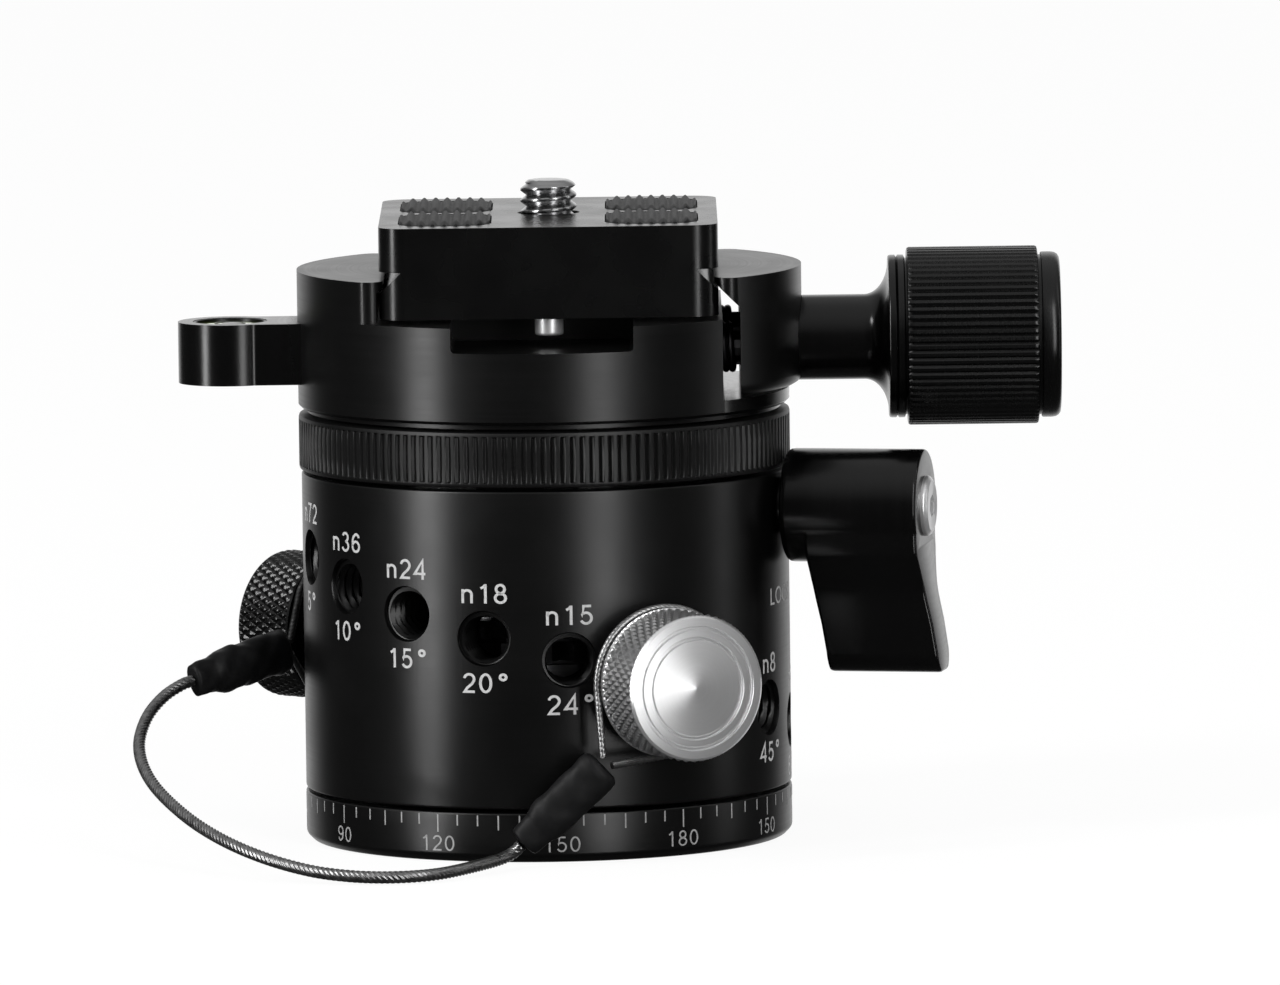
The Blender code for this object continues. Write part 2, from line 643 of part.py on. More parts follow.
def make_drum():
    """Index drum: a plain brake band over ten rows of notches, fixed to the base."""
    band = hole_height(0) + (ROW_STEP + GROOVE_HEIGHT) / 2
    core = arc((0, 0), CORE_RADIUS, 0, 360, MEDIUM_STEPS)[1:]
    brake = arc((0, 0), DRUM_RADIUS, 0, 360, MEDIUM_STEPS)[1:]
    blank = prism_mesh("index_drum", core, DRUM_BOTTOM, (band + DRUM_TOP) / 2)
    drum = add_part("index_drum", blank, "steel")
    half_row = (ROW_STEP - GROOVE_HEIGHT) / 2
    rows = [cut_prism(brake, band, DRUM_TOP)]
    for index, count in enumerate(NOTCH_COUNTS):
        centre = hole_height(index)
        outline = notched_outline(count, hole_angle(index))
        rows.append(cut_prism(outline, centre - half_row, centre + half_row))
    combine(drum, rows, "UNION")
    tops = DRUM_BOTTOM + DRUM_SCREW_REACH + GAP
    combine(drum, [cut_rod(matrix, DRUM_SCREW_RADIUS + GAP, DRUM_BOTTOM - OVERRUN, tops)
                   for matrix in circle_places(DRUM_SCREW_COUNT, DRUM_SCREW_CIRCLE)])
    combine(drum, [cut_rod(upright(), DRUM_BORE, DRUM_BOTTOM - OVERRUN, DRUM_TOP + OVERRUN, MEDIUM_STEPS)])


def make_head(head):
    """Shell with its holes, the cap on it, the cap screws and the clamp's pivot bolt."""
    cap_bore = CAP_RADIUS + GAP
    shell = add_turned("head_shell", [
        (BODY_RADIUS - SHELL_EDGE, SHELL_TOP), (BODY_RADIUS, SHELL_TOP - SHELL_EDGE),
        (BODY_RADIUS, SHELL_BOTTOM + SHELL_EDGE), (BODY_RADIUS - SHELL_EDGE, SHELL_BOTTOM),
        (LEDGE_BORE, SHELL_BOTTOM), (LEDGE_BORE, LEDGE_TOP), (SHELL_BORE, LEDGE_TOP),
        (SHELL_BORE, CAP_SEAT), (cap_bore, CAP_SEAT), (cap_bore, SHELL_TOP),
    ], "black", LARGE_STEPS, head)
    places = [radial_matrix(hole_angle(index), hole_height(index)) for index in range(len(NOTCH_COUNTS))]
    places += [radial_matrix(LEVER_ANGLE, LEVER_HEIGHT), radial_matrix(DRAG_ANGLE, DRAG_HEIGHT)]
    combine(shell, [cut_rod(matrix, BORE_RADIUS, DRUM_RADIUS, BODY_RADIUS + OVERRUN) for matrix in places])
    screws = circle_places(CAP_SCREW_COUNT, CAP_SCREW_CIRCLE, CAP_SCREW_START)
    screw_end = CAP_SEAT - CAP_SCREW_REACH
    combine(shell, [cut_rod(matrix, CAP_SCREW_RADIUS + GAP, screw_end - GAP, CAP_SEAT + OVERRUN, SMALL_STEPS)
                    for matrix in screws])
    cap = add_turned("head_cap", tube([(CAP_RADIUS, CAP_TOP)], CAP_SEAT + GAP, PIVOT_RADIUS + GAP),
                     "black", LARGE_STEPS, head)
    head_under = CAP_TOP - GAP - CAP_SCREW_HEAD
    cap_hole = rod([(CAP_SCREW_HEAD_RADIUS + GAP, CAP_TOP + OVERRUN),
                    (CAP_SCREW_RADIUS + GAP, head_under - GAP)], CAP_SEAT - OVERRUN)
    combine(cap, [cut_turned(matrix, cap_hole) for matrix in screws])
    cap_screw = turned_mesh(rod([(CAP_SCREW_HEAD_RADIUS, CAP_TOP - GAP), (CAP_SCREW_RADIUS, head_under)],
                                screw_end), SMALL_STEPS)
    add_copies("cap_screw", cap_screw, screws, "steel", head)
    bolt_top = CHANNEL_FLOOR - GAP
    bolt_steps = [(PIVOT_HEAD_RADIUS, bolt_top), (PIVOT_RADIUS, bolt_top - PIVOT_HEAD)]
    bolt = add_turned("pivot_bolt", rod(bolt_steps, CAP_TOP - PIVOT_REACH), "steel", MEDIUM_STEPS, head)
    combine(bolt, [cut_rod(upright(), PIVOT_HEX_RADIUS, bolt_top - PIVOT_HEX_DEPTH, bolt_top + OVERRUN, 6)])
    add_turned("clamp_washer", tube([(CLAMP_WASHER_RADIUS, CAP_TOP + GAP + CLAMP_WASHER)],
                                    CAP_TOP + GAP, CLAMP_WASHER_BORE), "nylon", MEDIUM_STEPS, head)


def make_ring(frame):
    """Knurled lock ring that turns on the cap."""
    bore = CAP_RADIUS + GAP
    add_turned("lock_ring", [
        (RING_RADIUS - RING_EDGE, RING_TOP), (RING_RADIUS, RING_TOP - RING_EDGE),
        (RING_RADIUS, RING_BOTTOM + RING_EDGE), (RING_RADIUS - RING_EDGE, RING_BOTTOM),
        (bore, RING_BOTTOM), (bore, RING_TOP),
    ], "black", LARGE_STEPS, frame)


def lip_cutters(tip, side, centre):
    """Cutters that round the two ends of a lip in plan, where its tip line meets the round face."""
    fillet_x = tip + side * LIP_CORNER
    fillet_y = math.sqrt((CLAMP_RADIUS - LIP_CORNER) ** 2 - (fillet_x - centre) ** 2)
    reach = math.degrees(math.atan2(fillet_y, side * (fillet_x - centre)))
    cutters = []
    for y_side in (1, -1):
        points = []
        for x, y in arc((0, 0), LIP_CORNER, 180, reach, 5):
            points.append((fillet_x + side * x, y_side * (fillet_y + y)))
        length = math.hypot(points[-1][0] - centre, points[-1][1])
        share = 1 + OVERRUN / length
        outer = (centre + (points[-1][0] - centre) * share, points[-1][1] * share)
        far = y_side * (CLAMP_RADIUS + OVERRUN)
        points += [outer, (outer[0], far), (tip - side * OVERRUN, far), (tip - side * OVERRUN, points[0][1])]
        cutters.append(cut_prism(points, CHANNEL_FLOOR, CLAMP_TOP + OVERRUN))
    return cutters


def channel_cutter(wall, side, bottom):
    """Cutter with the dovetail lip's section, run along Y; distances from the channel's middle."""
    outline = [
        (side * wall, bottom), (side * wall, SLOPE_SUM - wall),
        (side * LIP_TIP, CLAMP_TOP - LIP_HEIGHT), (side * LIP_TIP, CLAMP_TOP + OVERRUN),
        (-side * (CLAMP_RADIUS + OVERRUN), CLAMP_TOP + OVERRUN),
        (-side * (CLAMP_RADIUS + OVERRUN), bottom),
    ]
    along = upright(CHANNEL_SHIFT) @ Matrix.Rotation(math.radians(90), 4, "X")
    reach = CLAMP_RADIUS + OVERRUN
    return cut_prism(outline, -reach, reach, along)


def arm_outline():
    """Plan of the level arm: a round end, two small fillets and a straight root."""
    centre_y = ARM_HALF + ARM_FILLET
    offset = math.sqrt((ARM_RADIUS + ARM_FILLET) ** 2 - centre_y ** 2)
    waist = -ARM_REACH + offset
    turn = math.degrees(math.atan2(centre_y, offset))
    points = [(-ARM_ROOT, ARM_HALF)]
    points += arc((waist, centre_y), ARM_FILLET, 270, turn + 180, 3)
    points += arc((-ARM_REACH, 0.0), ARM_RADIUS, turn, 360 - turn, 22)[1:-1]
    points += arc((waist, -centre_y), ARM_FILLET, 180 - turn, 90, 3)
    return points + [(-ARM_ROOT, -ARM_HALF)]


def make_clamp(frame):
    """Clamp body with its level arm, the vial, guide pins and jaw springs."""
    recess = CLAMP_WASHER_RADIUS + GAP
    cap_room = CAP_RADIUS + GAP
    pivot_seat = CHANNEL_FLOOR - 2 * GAP - PIVOT_HEAD
    body = add_turned("clamp_body", [
        (CLAMP_RADIUS, CLAMP_TOP), (CLAMP_RADIUS, CLAMP_BOTTOM + CLAMP_EDGE),
        (CLAMP_RADIUS - CLAMP_EDGE, CLAMP_BOTTOM), (CLAMP_NECK_RADIUS, CLAMP_BOTTOM),
        (CLAMP_NECK_RADIUS, RING_TOP + GAP), (cap_room, RING_TOP + GAP), (cap_room, CAP_TOP + GAP),
        (recess, CAP_TOP + GAP), (recess, CLAMP_SEAT),
        (PIVOT_RADIUS + GAP, CLAMP_SEAT), (PIVOT_RADIUS + GAP, pivot_seat),
        (PIVOT_HEAD_RADIUS + GAP, pivot_seat), (PIVOT_HEAD_RADIUS + GAP, CLAMP_TOP),
    ], "black", LARGE_STEPS, frame)
    combine(body, [cut_prism(arm_outline(), ARM_BOTTOM, ARM_TOP)], "UNION")
    reach = CLAMP_RADIUS + OVERRUN
    cutters = [channel_cutter(PLATE_HALF_WIDTH + GAP, -1, CHANNEL_FLOOR)]
    cutters.append(cut_box((BODY_FACE, -reach, CLAMP_BOTTOM + CLAMP_FLANGE), (reach, reach, CLAMP_TOP)))
    recess_start = STOP_Y - PLATE_TRAVEL - STOP_RADIUS - GAP
    for low, high in ((-reach, -recess_start), (recess_start, reach)):
        cutters.append(cut_box((-STOP_RECESS_HALF, low, CHANNEL_FLOOR - STOP_RECESS_DEPTH),
                               (STOP_RECESS_HALF, high, CLAMP_TOP)))
    cutters += lip_cutters(CHANNEL_SHIFT - LIP_TIP, -1, 0.0)
    face = BODY_FACE + OVERRUN
    screw_end = BODY_FACE - JAW_SCREW_ENGAGEMENT - GAP
    cutters.append(cut_rod(side_matrix(), JAW_SCREW_RADIUS + GAP, screw_end, face))
    pocket = SPRING_RADIUS + SPRING_WIRE + GAP
    guide_hole = rod([(pocket, face), (GUIDE_RADIUS + GAP, BODY_FACE - SPRING_POCKET)],
                     BODY_FACE - GUIDE_SEAT - GAP)
    for y in (-GUIDE_SPACING, GUIDE_SPACING):
        cutters.append(cut_turned(side_matrix(y), guide_hole))
    vial_place = upright(-ARM_REACH)
    cutters.append(cut_rod(vial_place, VIAL_RADIUS + GAP, ARM_TOP - VIAL_DEPTH - GAP, ARM_TOP + OVERRUN,
                           MEDIUM_STEPS))
    combine(body, cutters)
    vial_profile = rod([(VIAL_RADIUS, ARM_TOP)], ARM_TOP - VIAL_DEPTH)
    vial = add_turned("level_vial", vial_profile, "vial", MEDIUM_STEPS, frame)
    vial.location.x = -ARM_REACH
    pin_profile = rod([(GUIDE_RADIUS, JAW_FACE + GUIDE_REACH)], BODY_FACE - GUIDE_SEAT)
    for y, end in ((-GUIDE_SPACING, "front"), (GUIDE_SPACING, "rear")):
        pin = add_turned("guide_pin_" + end, pin_profile, "steel", SMALL_STEPS, frame)
        spring = add_spring("jaw_spring_" + end, SPRING_RADIUS, SPRING_WIRE, SPRING_TURNS,
                            BODY_FACE - SPRING_POCKET + GAP, JAW_FACE - GAP, frame)
        pin.matrix_local = side_matrix(y)
        spring.matrix_local = side_matrix(y)


def make_jaw(frame):
    """Movable jaw, a slice of a disc with the second dovetail lip."""
    profile = [(0.0, CLAMP_TOP), (CLAMP_RADIUS, CLAMP_TOP)]
    profile += arc((CLAMP_RADIUS - JAW_EDGE, JAW_BOTTOM + JAW_EDGE), JAW_EDGE, 0, -90, 4)
    profile.append((0.0, JAW_BOTTOM))
    jaw = add_turned("movable_jaw", profile, "black", LARGE_STEPS, frame)
    jaw.location.x = JAW_SHIFT
    outer = JAW_SHIFT + CLAMP_RADIUS
    inside = JAW_FACE - OVERRUN
    cutters = [channel_cutter(JAW_FACE - CHANNEL_SHIFT, 1, JAW_BOTTOM - OVERRUN)]
    cutters += lip_cutters(CHANNEL_SHIFT + LIP_TIP, 1, JAW_SHIFT)
    knob_seat = rod([(KNOB_NECK_RADIUS + GAP, outer + OVERRUN),
                     (JAW_SCREW_RADIUS + GAP, outer - KNOB_SEAT_DEPTH)], inside)
    cutters.append(cut_turned(side_matrix(), knob_seat, MEDIUM_STEPS))
    for y in (-GUIDE_SPACING, GUIDE_SPACING):
        cutters.append(cut_rod(side_matrix(y), GUIDE_RADIUS + GAP, inside, JAW_FACE + GUIDE_REACH + GAP))
    combine(jaw, cutters)


def make_jaw_knob(frame):
    """Clamp knob with its screw and washer, about the jaw screw's axis."""
    washer_low = JAW_SHIFT + CLAMP_RADIUS - KNOB_SEAT_DEPTH + GAP
    neck = washer_low + KNOB_WASHER + GAP
    flare = neck + KNOB_NECK_LENGTH
    flange = flare + KNOB_FLARE
    grip = flange + KNOB_FLANGE
    grip_end = grip + KNOB_GRIP
    cap = grip_end + KNOB_GROOVE
    end = cap + KNOB_END
    groove = KNOB_GRIP_RADIUS - KNOB_GROOVE_DEPTH
    bore = JAW_SCREW_RADIUS + GAP
    bore_end = neck + JAW_SCREW_GRIP + GAP
    profile = [(0.0, end)]
    profile += arc((KNOB_END_RADIUS - KNOB_ROUND, end - KNOB_ROUND), KNOB_ROUND, 90, 0, 4)
    profile += [(KNOB_END_RADIUS, cap), (groove, cap), (groove, grip_end),
                (KNOB_GRIP_RADIUS - KNOB_GRIP_EDGE, grip_end), (KNOB_GRIP_RADIUS, grip_end - KNOB_GRIP_EDGE),
                (KNOB_GRIP_RADIUS, grip + KNOB_GRIP_EDGE), (KNOB_GRIP_RADIUS - KNOB_GRIP_EDGE, grip),
                (KNOB_FLANGE_RADIUS, grip)]
    for across, along in arc((0, 0), 1, 90, 180, 4):
        profile.append((KNOB_FLANGE_RADIUS + (KNOB_FLANGE_RADIUS - KNOB_NECK_RADIUS) * across,
                        flare + KNOB_FLARE * along))
    profile += [(KNOB_NECK_RADIUS, neck), (bore, neck), (bore, bore_end), (0.0, bore_end)]
    add_turned("clamp_knob", profile, "black", MEDIUM_STEPS, frame)
    screw = rod([(JAW_SCREW_RADIUS, neck + JAW_SCREW_GRIP)], BODY_FACE - JAW_SCREW_ENGAGEMENT)
    add_turned("clamp_screw", screw, "steel", SMALL_STEPS, frame)
    add_turned("knob_washer", tube([(KNOB_NECK_RADIUS, washer_low + KNOB_WASHER)], washer_low, bore),
               "steel", MEDIUM_STEPS, frame)


def make_plate(frame):
    """Dovetail camera plate with its stop pins; the screw and the pads have their own functions."""
    plan = rounded_box(PLATE_HALF_WIDTH, PLATE_HALF_LENGTH, PLATE_CORNER)
    blank = prism_mesh("camera_plate", plan, PLATE_BOTTOM, PLATE_TOP)
    plate = add_part("camera_plate", blank, "black", frame)
    reach = PLATE_HALF_LENGTH + OVERRUN
    along = upright(CHANNEL_SHIFT) @ Matrix.Rotation(math.radians(90), 4, "X")
    cutters = []
    for side in (1, -1):
        edge = side * (PLATE_HALF_WIDTH + OVERRUN)
        notch = [(edge, SHOULDER - OVERRUN), (side * (PLATE_HALF_WIDTH - PLATE_WAIST), SLAB_BOTTOM),
                 (edge, SLAB_BOTTOM)]
        cutters.append(cut_prism(notch, -reach, reach, along))
    head_room = PLATE_BOTTOM + CAMERA_HEAD + 2 * GAP
    cutters.append(cut_turned(upright(CHANNEL_SHIFT), rod(
        [(CAMERA_SCREW_RADIUS + GAP, PLATE_TOP + OVERRUN), (CAMERA_HEAD_RADIUS + GAP, head_room)],
        PLATE_BOTTOM - OVERRUN), MEDIUM_STEPS))
    pin_top = PLATE_BOTTOM + STOP_DEPTH
    for y, end in ((-STOP_Y, "front"), (STOP_Y, "rear")):
        pin = add_turned("stop_pin_" + end, rod([(STOP_RADIUS, pin_top)], PLATE_BOTTOM - STOP_PROUD),
                         "steel", SMALL_STEPS, frame)
        pin.location.y = y
        cutters.append(cut_rod(upright(CHANNEL_SHIFT, y), STOP_RADIUS + GAP, PLATE_BOTTOM - OVERRUN,
                               pin_top + GAP))
    pocket = rounded_box(PAD_HALF_WIDTH + GAP, PAD_LENGTH / 2 + GAP, PAD_CORNER + GAP)
    for x, y, name in pad_places():
        cutters.append(cut_prism(pocket, PLATE_TOP - PAD_BASE - GAP, PLATE_TOP + OVERRUN,
                                 upright(CHANNEL_SHIFT + x, y)))
    combine(plate, cutters)


def pad_places():
    """Centre and name of each of the four pads."""
    y = (PAD_LENGTH + PAD_SPLIT) / 2
    return ((-PAD_CENTRE, -y, "pad_front_left"), (PAD_CENTRE, -y, "pad_front_right"),
            (-PAD_CENTRE, y, "pad_rear_left"), (PAD_CENTRE, y, "pad_rear_right"))


def make_pads(frame):
    """Four rubber pads with ridges from front to back."""
    top = PLATE_TOP + PAD_PROUD
    floor = top - PAD_RIDGE
    plan = rounded_box(PAD_HALF_WIDTH, PAD_LENGTH / 2, PAD_CORNER)
    blank = prism_mesh("pad", plan, PLATE_TOP - PAD_BASE, top)
    holder = place(bpy.data.objects.new("pad", blank), upright())
    edge = PAD_HALF_WIDTH + OVERRUN
    comb = [(-edge, top + OVERRUN), (-edge, floor)]
    for index in range(PAD_RIDGES):
        centre = (index - (PAD_RIDGES - 1) / 2) * PAD_RIDGE_PITCH
        comb += [(centre - PAD_RIDGE_WIDTH / 2, floor), (centre, floor + 2 * PAD_RIDGE),
                 (centre + PAD_RIDGE_WIDTH / 2, floor)]
    comb += [(edge, floor), (edge, top + OVERRUN)]
    combine(holder, [cut_prism(comb, -PAD_LENGTH, PAD_LENGTH, Matrix.Rotation(math.radians(90), 4, "X"))])
    mesh = evaluated_mesh(holder)
    bpy.data.objects.remove(holder)
    for x, y, name in pad_places():
        pad = add_part(name, mesh.copy(), "rubber", frame)
        pad.location = (x, y, 0.0)


def make_camera_screw(frame):
    """Camera screw with ring-shaped threads above the plate and a slotted head below."""
    top = PLATE_TOP + CAMERA_SCREW_PROUD
    low = PLATE_BOTTOM + GAP
    under = low + CAMERA_HEAD
    profile = [(0.0, top), (CAMERA_SCREW_CORE, top)]
    for index in range(CAMERA_SCREW_THREADS):
        profile.append((CAMERA_SCREW_RADIUS, top - (index + 0.5) * CAMERA_SCREW_PITCH))
        profile.append((CAMERA_SCREW_CORE, top - (index + 1) * CAMERA_SCREW_PITCH))
    profile += [(CAMERA_SCREW_RADIUS, top - (CAMERA_SCREW_THREADS + 0.5) * CAMERA_SCREW_PITCH),
                (CAMERA_SCREW_RADIUS, under), (CAMERA_HEAD_RADIUS, under), (CAMERA_HEAD_RADIUS, low),
                (0.0, low)]
    screw = add_turned("camera_screw", profile, "steel", SMALL_STEPS, frame)
    reach = CAMERA_HEAD_RADIUS + OVERRUN
    combine(screw, [cut_box((CHANNEL_SHIFT - reach, -CAMERA_SLOT_WIDTH / 2, low - OVERRUN),
                            (CHANNEL_SHIFT + reach, CAMERA_SLOT_WIDTH / 2, low + CAMERA_SLOT_DEPTH))])


def paddle_outline():
    """Front view of the paddle: the right side down, the round tip, and the left side up."""
    right = [(width * HUB_RADIUS, -drop * PADDLE_LENGTH) for width, drop in PADDLE_SIDE_SHARES]
    tip = (PADDLE_TIP - PADDLE_ROUND, PADDLE_ROUND - PADDLE_LENGTH)
    right += arc(tip, PADDLE_ROUND, 0, -90, 4)
    return right + [(-x, y) for x, y in reversed(right)]


def make_lever(frame, head):
    """Lock lever with its screw and stud, and the brake pad that the stud presses on the drum."""
    matrix = radial_matrix(LEVER_ANGLE, LEVER_HEIGHT)
    lever = add_turned("lock_lever", [
        (0.0, HUB_END), (HUB_RADIUS, HUB_END), (HUB_RADIUS, HUB_START + HUB_EDGE),
        (HUB_RADIUS - HUB_EDGE, HUB_START), (0.0, HUB_START),
    ], "black", MEDIUM_STEPS, frame)
    inner = HUB_END - PADDLE_DEPTH
    low_inner = inner + PADDLE_SLANT
    low_outer = HUB_END + PADDLE_SLANT
    side = [(inner, 0.0), (HUB_END, 0.0), (HUB_END, -PADDLE_BEND),
            (low_outer, PADDLE_EDGE - PADDLE_LENGTH), (low_outer - PADDLE_EDGE, -PADDLE_LENGTH),
            (low_inner + PADDLE_EDGE, -PADDLE_LENGTH), (low_inner, PADDLE_EDGE - PADDLE_LENGTH),
            (inner, -PADDLE_BEND)]
    paddle = cut_prism(paddle_outline(), inner - OVERRUN, low_outer + OVERRUN, matrix)
    side_turn = Matrix.Rotation(math.radians(-90), 4, "Y")
    combine(paddle, [cut_prism(side, -HUB_RADIUS, HUB_RADIUS, matrix @ side_turn)], "INTERSECT")
    combine(lever, [paddle], "UNION")
    head_seat = HUB_END - LEVER_HEAD_SEAT - GAP
    stud_end = HUB_START + STUD_GRIP
    screw_bore = LEVER_SCREW_RADIUS + GAP
    bore = rod([(LEVER_HEAD_RADIUS + GAP, HUB_END + OVERRUN), (screw_bore, head_seat),
                (BORE_RADIUS, stud_end + GAP)], HUB_START - OVERRUN)
    combine(lever, [cut_turned(matrix, bore, MEDIUM_STEPS)])
    screw_end = stud_end - LEVER_SCREW_DEPTH
    screw_top = head_seat + GAP + LEVER_HEAD
    screw_steps = [(LEVER_HEAD_RADIUS, screw_top), (LEVER_SCREW_RADIUS, head_seat + GAP)]
    screw = add_turned("lever_screw", rod(screw_steps, screw_end), "steel", MEDIUM_STEPS, frame)
    combine(screw, [cut_rod(matrix, HEX_RADIUS, screw_top - HEX_DEPTH, screw_top + OVERRUN, 6)])
    shoe_top = DRUM_RADIUS + GAP + SHOE_THICKNESS
    stud = rod([(THREAD_RADIUS, stud_end)], shoe_top + GAP)
    socket = [(0.0, screw_end - GAP), (screw_bore, screw_end - GAP), (screw_bore, stud_end)]
    add_turned("lever_stud", socket + stud[1:], "steel", SMALL_STEPS, frame)
    add_shoe("brake_pad", head).matrix_local = matrix


def add_shoe(name, frame):
    """Nylon pad that rubs on the drum."""
    low = DRUM_RADIUS + GAP
    return add_turned(name, rod([(SHOE_RADIUS, low + SHOE_THICKNESS)], low), "nylon", SMALL_STEPS, frame)


def add_side_knob(name, radius, kind, frame):
    """Round knob beside the head; returns where its thread may end."""
    start = BODY_RADIUS + SIDE_NECK_GAP
    end = SIDE_GRIP + SIDE_KNOB_LENGTH
    thread_end = SIDE_GRIP + SLEEVE_GRIP
    inset = radius - SIDE_KNOB_EDGE
    add_turned(name, [
        (0.0, end), (inset, end), (radius, end - SIDE_KNOB_EDGE),
        (radius, SIDE_GRIP + SIDE_KNOB_EDGE), (inset, SIDE_GRIP), (SIDE_NECK_RADIUS, SIDE_GRIP),
        (SIDE_NECK_RADIUS, start), (BORE_RADIUS, start), (BORE_RADIUS, thread_end + GAP),
        (0.0, thread_end + GAP),
    ], kind, MEDIUM_STEPS, frame)
    return thread_end


def make_detent(frame):
    """Detent knob, its threaded sleeve, and the spring pin that sits in a notch of the drum."""
    thread_end = add_side_knob("detent_knob", DETENT_KNOB_RADIUS, "silver", frame)
    sleeve_start = SHELL_BORE + GAP
    sleeve = tube([(THREAD_RADIUS, thread_end)], sleeve_start, PIN_RADIUS + SLEEVE_CLEARANCE)
    add_turned("detent_sleeve", sleeve, "steel", SMALL_STEPS, frame)
    flank = NOTCH_WIDTH / 2 / NOTCH_DEPTH
    inset = GAP * math.sqrt(1 + flank ** 2)
    notch = DRUM_RADIUS - NOTCH_DEPTH
    tip = notch + (PIN_TIP_RADIUS + inset) / flank
    cone_end = notch + (PIN_RADIUS + inset) / flank
    pin_end = tip + PIN_LENGTH
    add_turned("detent_pin", [(0.0, pin_end), (PIN_RADIUS, pin_end), (PIN_RADIUS, cone_end),
                              (PIN_TIP_RADIUS, tip), (0.0, tip)], "steel", SMALL_STEPS, frame)
    add_spring("detent_spring", PIN_RADIUS - DETENT_SPRING_INSET, DETENT_SPRING_WIRE, DETENT_SPRING_TURNS,
               pin_end + GAP, thread_end, frame)


def make_drag(frame):
    """Drag knob with its stud and the nylon shoe that rubs on the drum."""
    thread_end = add_side_knob("drag_knob", DRAG_KNOB_RADIUS, "black", frame)
    stud_start = DRUM_RADIUS + 2 * GAP + SHOE_THICKNESS
    add_turned("drag_stud", rod([(THREAD_RADIUS, thread_end)], stud_start), "steel", SMALL_STEPS, frame)
    add_shoe("drag_shoe", frame)


def smooth_route(points, steps):
    """Points on a smooth curve through the route, each stretch by its four nearest points."""
    smooth = []
    for index in range(len(points) - 1):
        before = points[max(index - 1, 0)]
        start, end = points[index], points[index + 1]
        after = points[min(index + 2, len(points) - 1)]
        leave, reach = (end - before) / 2, (after - start) / 2
        for step in range(steps):
            t = step / steps
            smooth.append(start * (2 * t ** 3 - 3 * t ** 2 + 1) + leave * (t ** 3 - 2 * t ** 2 + t)
                          + end * (3 * t ** 2 - 2 * t ** 3) + reach * (t ** 3 - t ** 2))
    smooth.append(points[-1])
    return smooth


def crimp_matrix(mouth, tail):
    """Frame of a crimp: Z from its eye end to its cable end, Y through its thickness."""
    along = (tail - mouth).normalized()
    depth = (Vector((0.0, 1.0, 0.0)) - along * along.y).normalized()
    matrix = Matrix((depth.cross(along), depth, along)).transposed().to_4x4()
    matrix.translation = mouth
    return matrix


def add_crimp(name, mouth, tail, frame):
    """Pressed sleeve at the cable's end."""
    length = (tail - mouth).length
    profile = [(radius * CRIMP_RADIUS, height * length) for radius, height in CRIMP_SHARES]
    mesh = turned_mesh(profile, SMALL_STEPS)
    mesh.transform(crimp_matrix(mouth, tail) @ Matrix.Diagonal((1.0, CRIMP_DEPTH_SHARE, 1.0, 1.0)))
    add_part(name, mesh, "shrink", frame)


def add_eye(name, mouth, tail, knob, radius, frame):
    """Wire eye from the crimp's mouth round the back of a knob's grip and back."""
    start = knob.inverted() @ crimp_matrix(mouth, tail) @ Vector((0.0, 0.0, -GAP - EYE_WIRE))
    distance = math.hypot(start.x, start.y)
    heading = math.degrees(math.atan2(start.y, start.x))
    turn = math.degrees(math.acos(radius / distance))
    aside = Vector((-start.y, start.x, 0.0)) * (EYE_LEG / distance)
    points = [start + aside]
    for x, y in arc((0, 0), radius, heading + turn, heading + 360 - turn, EYE_STEPS):
        points.append(Vector((x, y, EYE_PLANE)))
    points.append(start - aside)
    add_wire(name, [knob @ point for point in points], EYE_WIRE, "cable", 2, frame)


def make_lanyard(frame):
    """Steel lanyard between the two side knobs: cable, crimps and eyes."""
    route = [Vector(point) * MM for point in CABLE_ROUTE]
    detent = radial_matrix(hole_angle(CHOSEN_HOLE), hole_height(CHOSEN_HOLE))
    drag = radial_matrix(DRAG_ANGLE, DRAG_HEIGHT)
    ends = (("front", route[0], route[1], detent, DETENT_KNOB_RADIUS),
            ("rear", route[-1], route[-2], drag, DRAG_KNOB_RADIUS))
    for end, mouth, tail, knob, knob_radius in ends:
        add_crimp("lanyard_sleeve_" + end, mouth, tail, frame)
        add_eye("lanyard_eye_" + end, mouth, tail, knob, knob_radius + EYE_PROUD, frame)
    free = route[1:-1]
    free[0] = route[1] + (route[1] - route[0]).normalized() * GAP
    free[-1] = route[-2] + (route[-2] - route[-1]).normalized() * GAP
    add_wire("lanyard_cable", smooth_route(free, CABLE_STEPS), CABLE_RADIUS, "cable", 2, frame)


head_frame = add_frame("head_frame", upright())
clamp_frame = add_frame("clamp_frame", upright(), head_frame)
jaw_knob_frame = add_frame("clamp_knob_frame", side_matrix(), clamp_frame)
plate_frame = add_frame("plate_frame", upright(CHANNEL_SHIFT), clamp_frame)
lever_frame = add_frame("lever_frame", radial_matrix(LEVER_ANGLE, LEVER_HEIGHT), head_frame)
detent_frame = add_frame("detent_frame", radial_matrix(hole_angle(CHOSEN_HOLE), hole_height(CHOSEN_HOLE)),
                         head_frame)
drag_frame = add_frame("drag_frame", radial_matrix(DRAG_ANGLE, DRAG_HEIGHT), head_frame)

make_base()
make_drum()
make_head(head_frame)
make_ring(head_frame)
make_clamp(clamp_frame)
make_jaw(clamp_frame)
make_jaw_knob(jaw_knob_frame)
make_plate(plate_frame)
make_pads(plate_frame)
make_camera_screw(plate_frame)
make_lever(lever_frame, head_frame)
make_detent(detent_frame)
make_drag(drag_frame)
make_lanyard(head_frame)

for part in PARTS.objects:
    if part.type == "MESH":
        shade(part)
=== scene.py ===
import math

import bmesh
import bpy
import numpy as np
from mathutils import Matrix, Vector


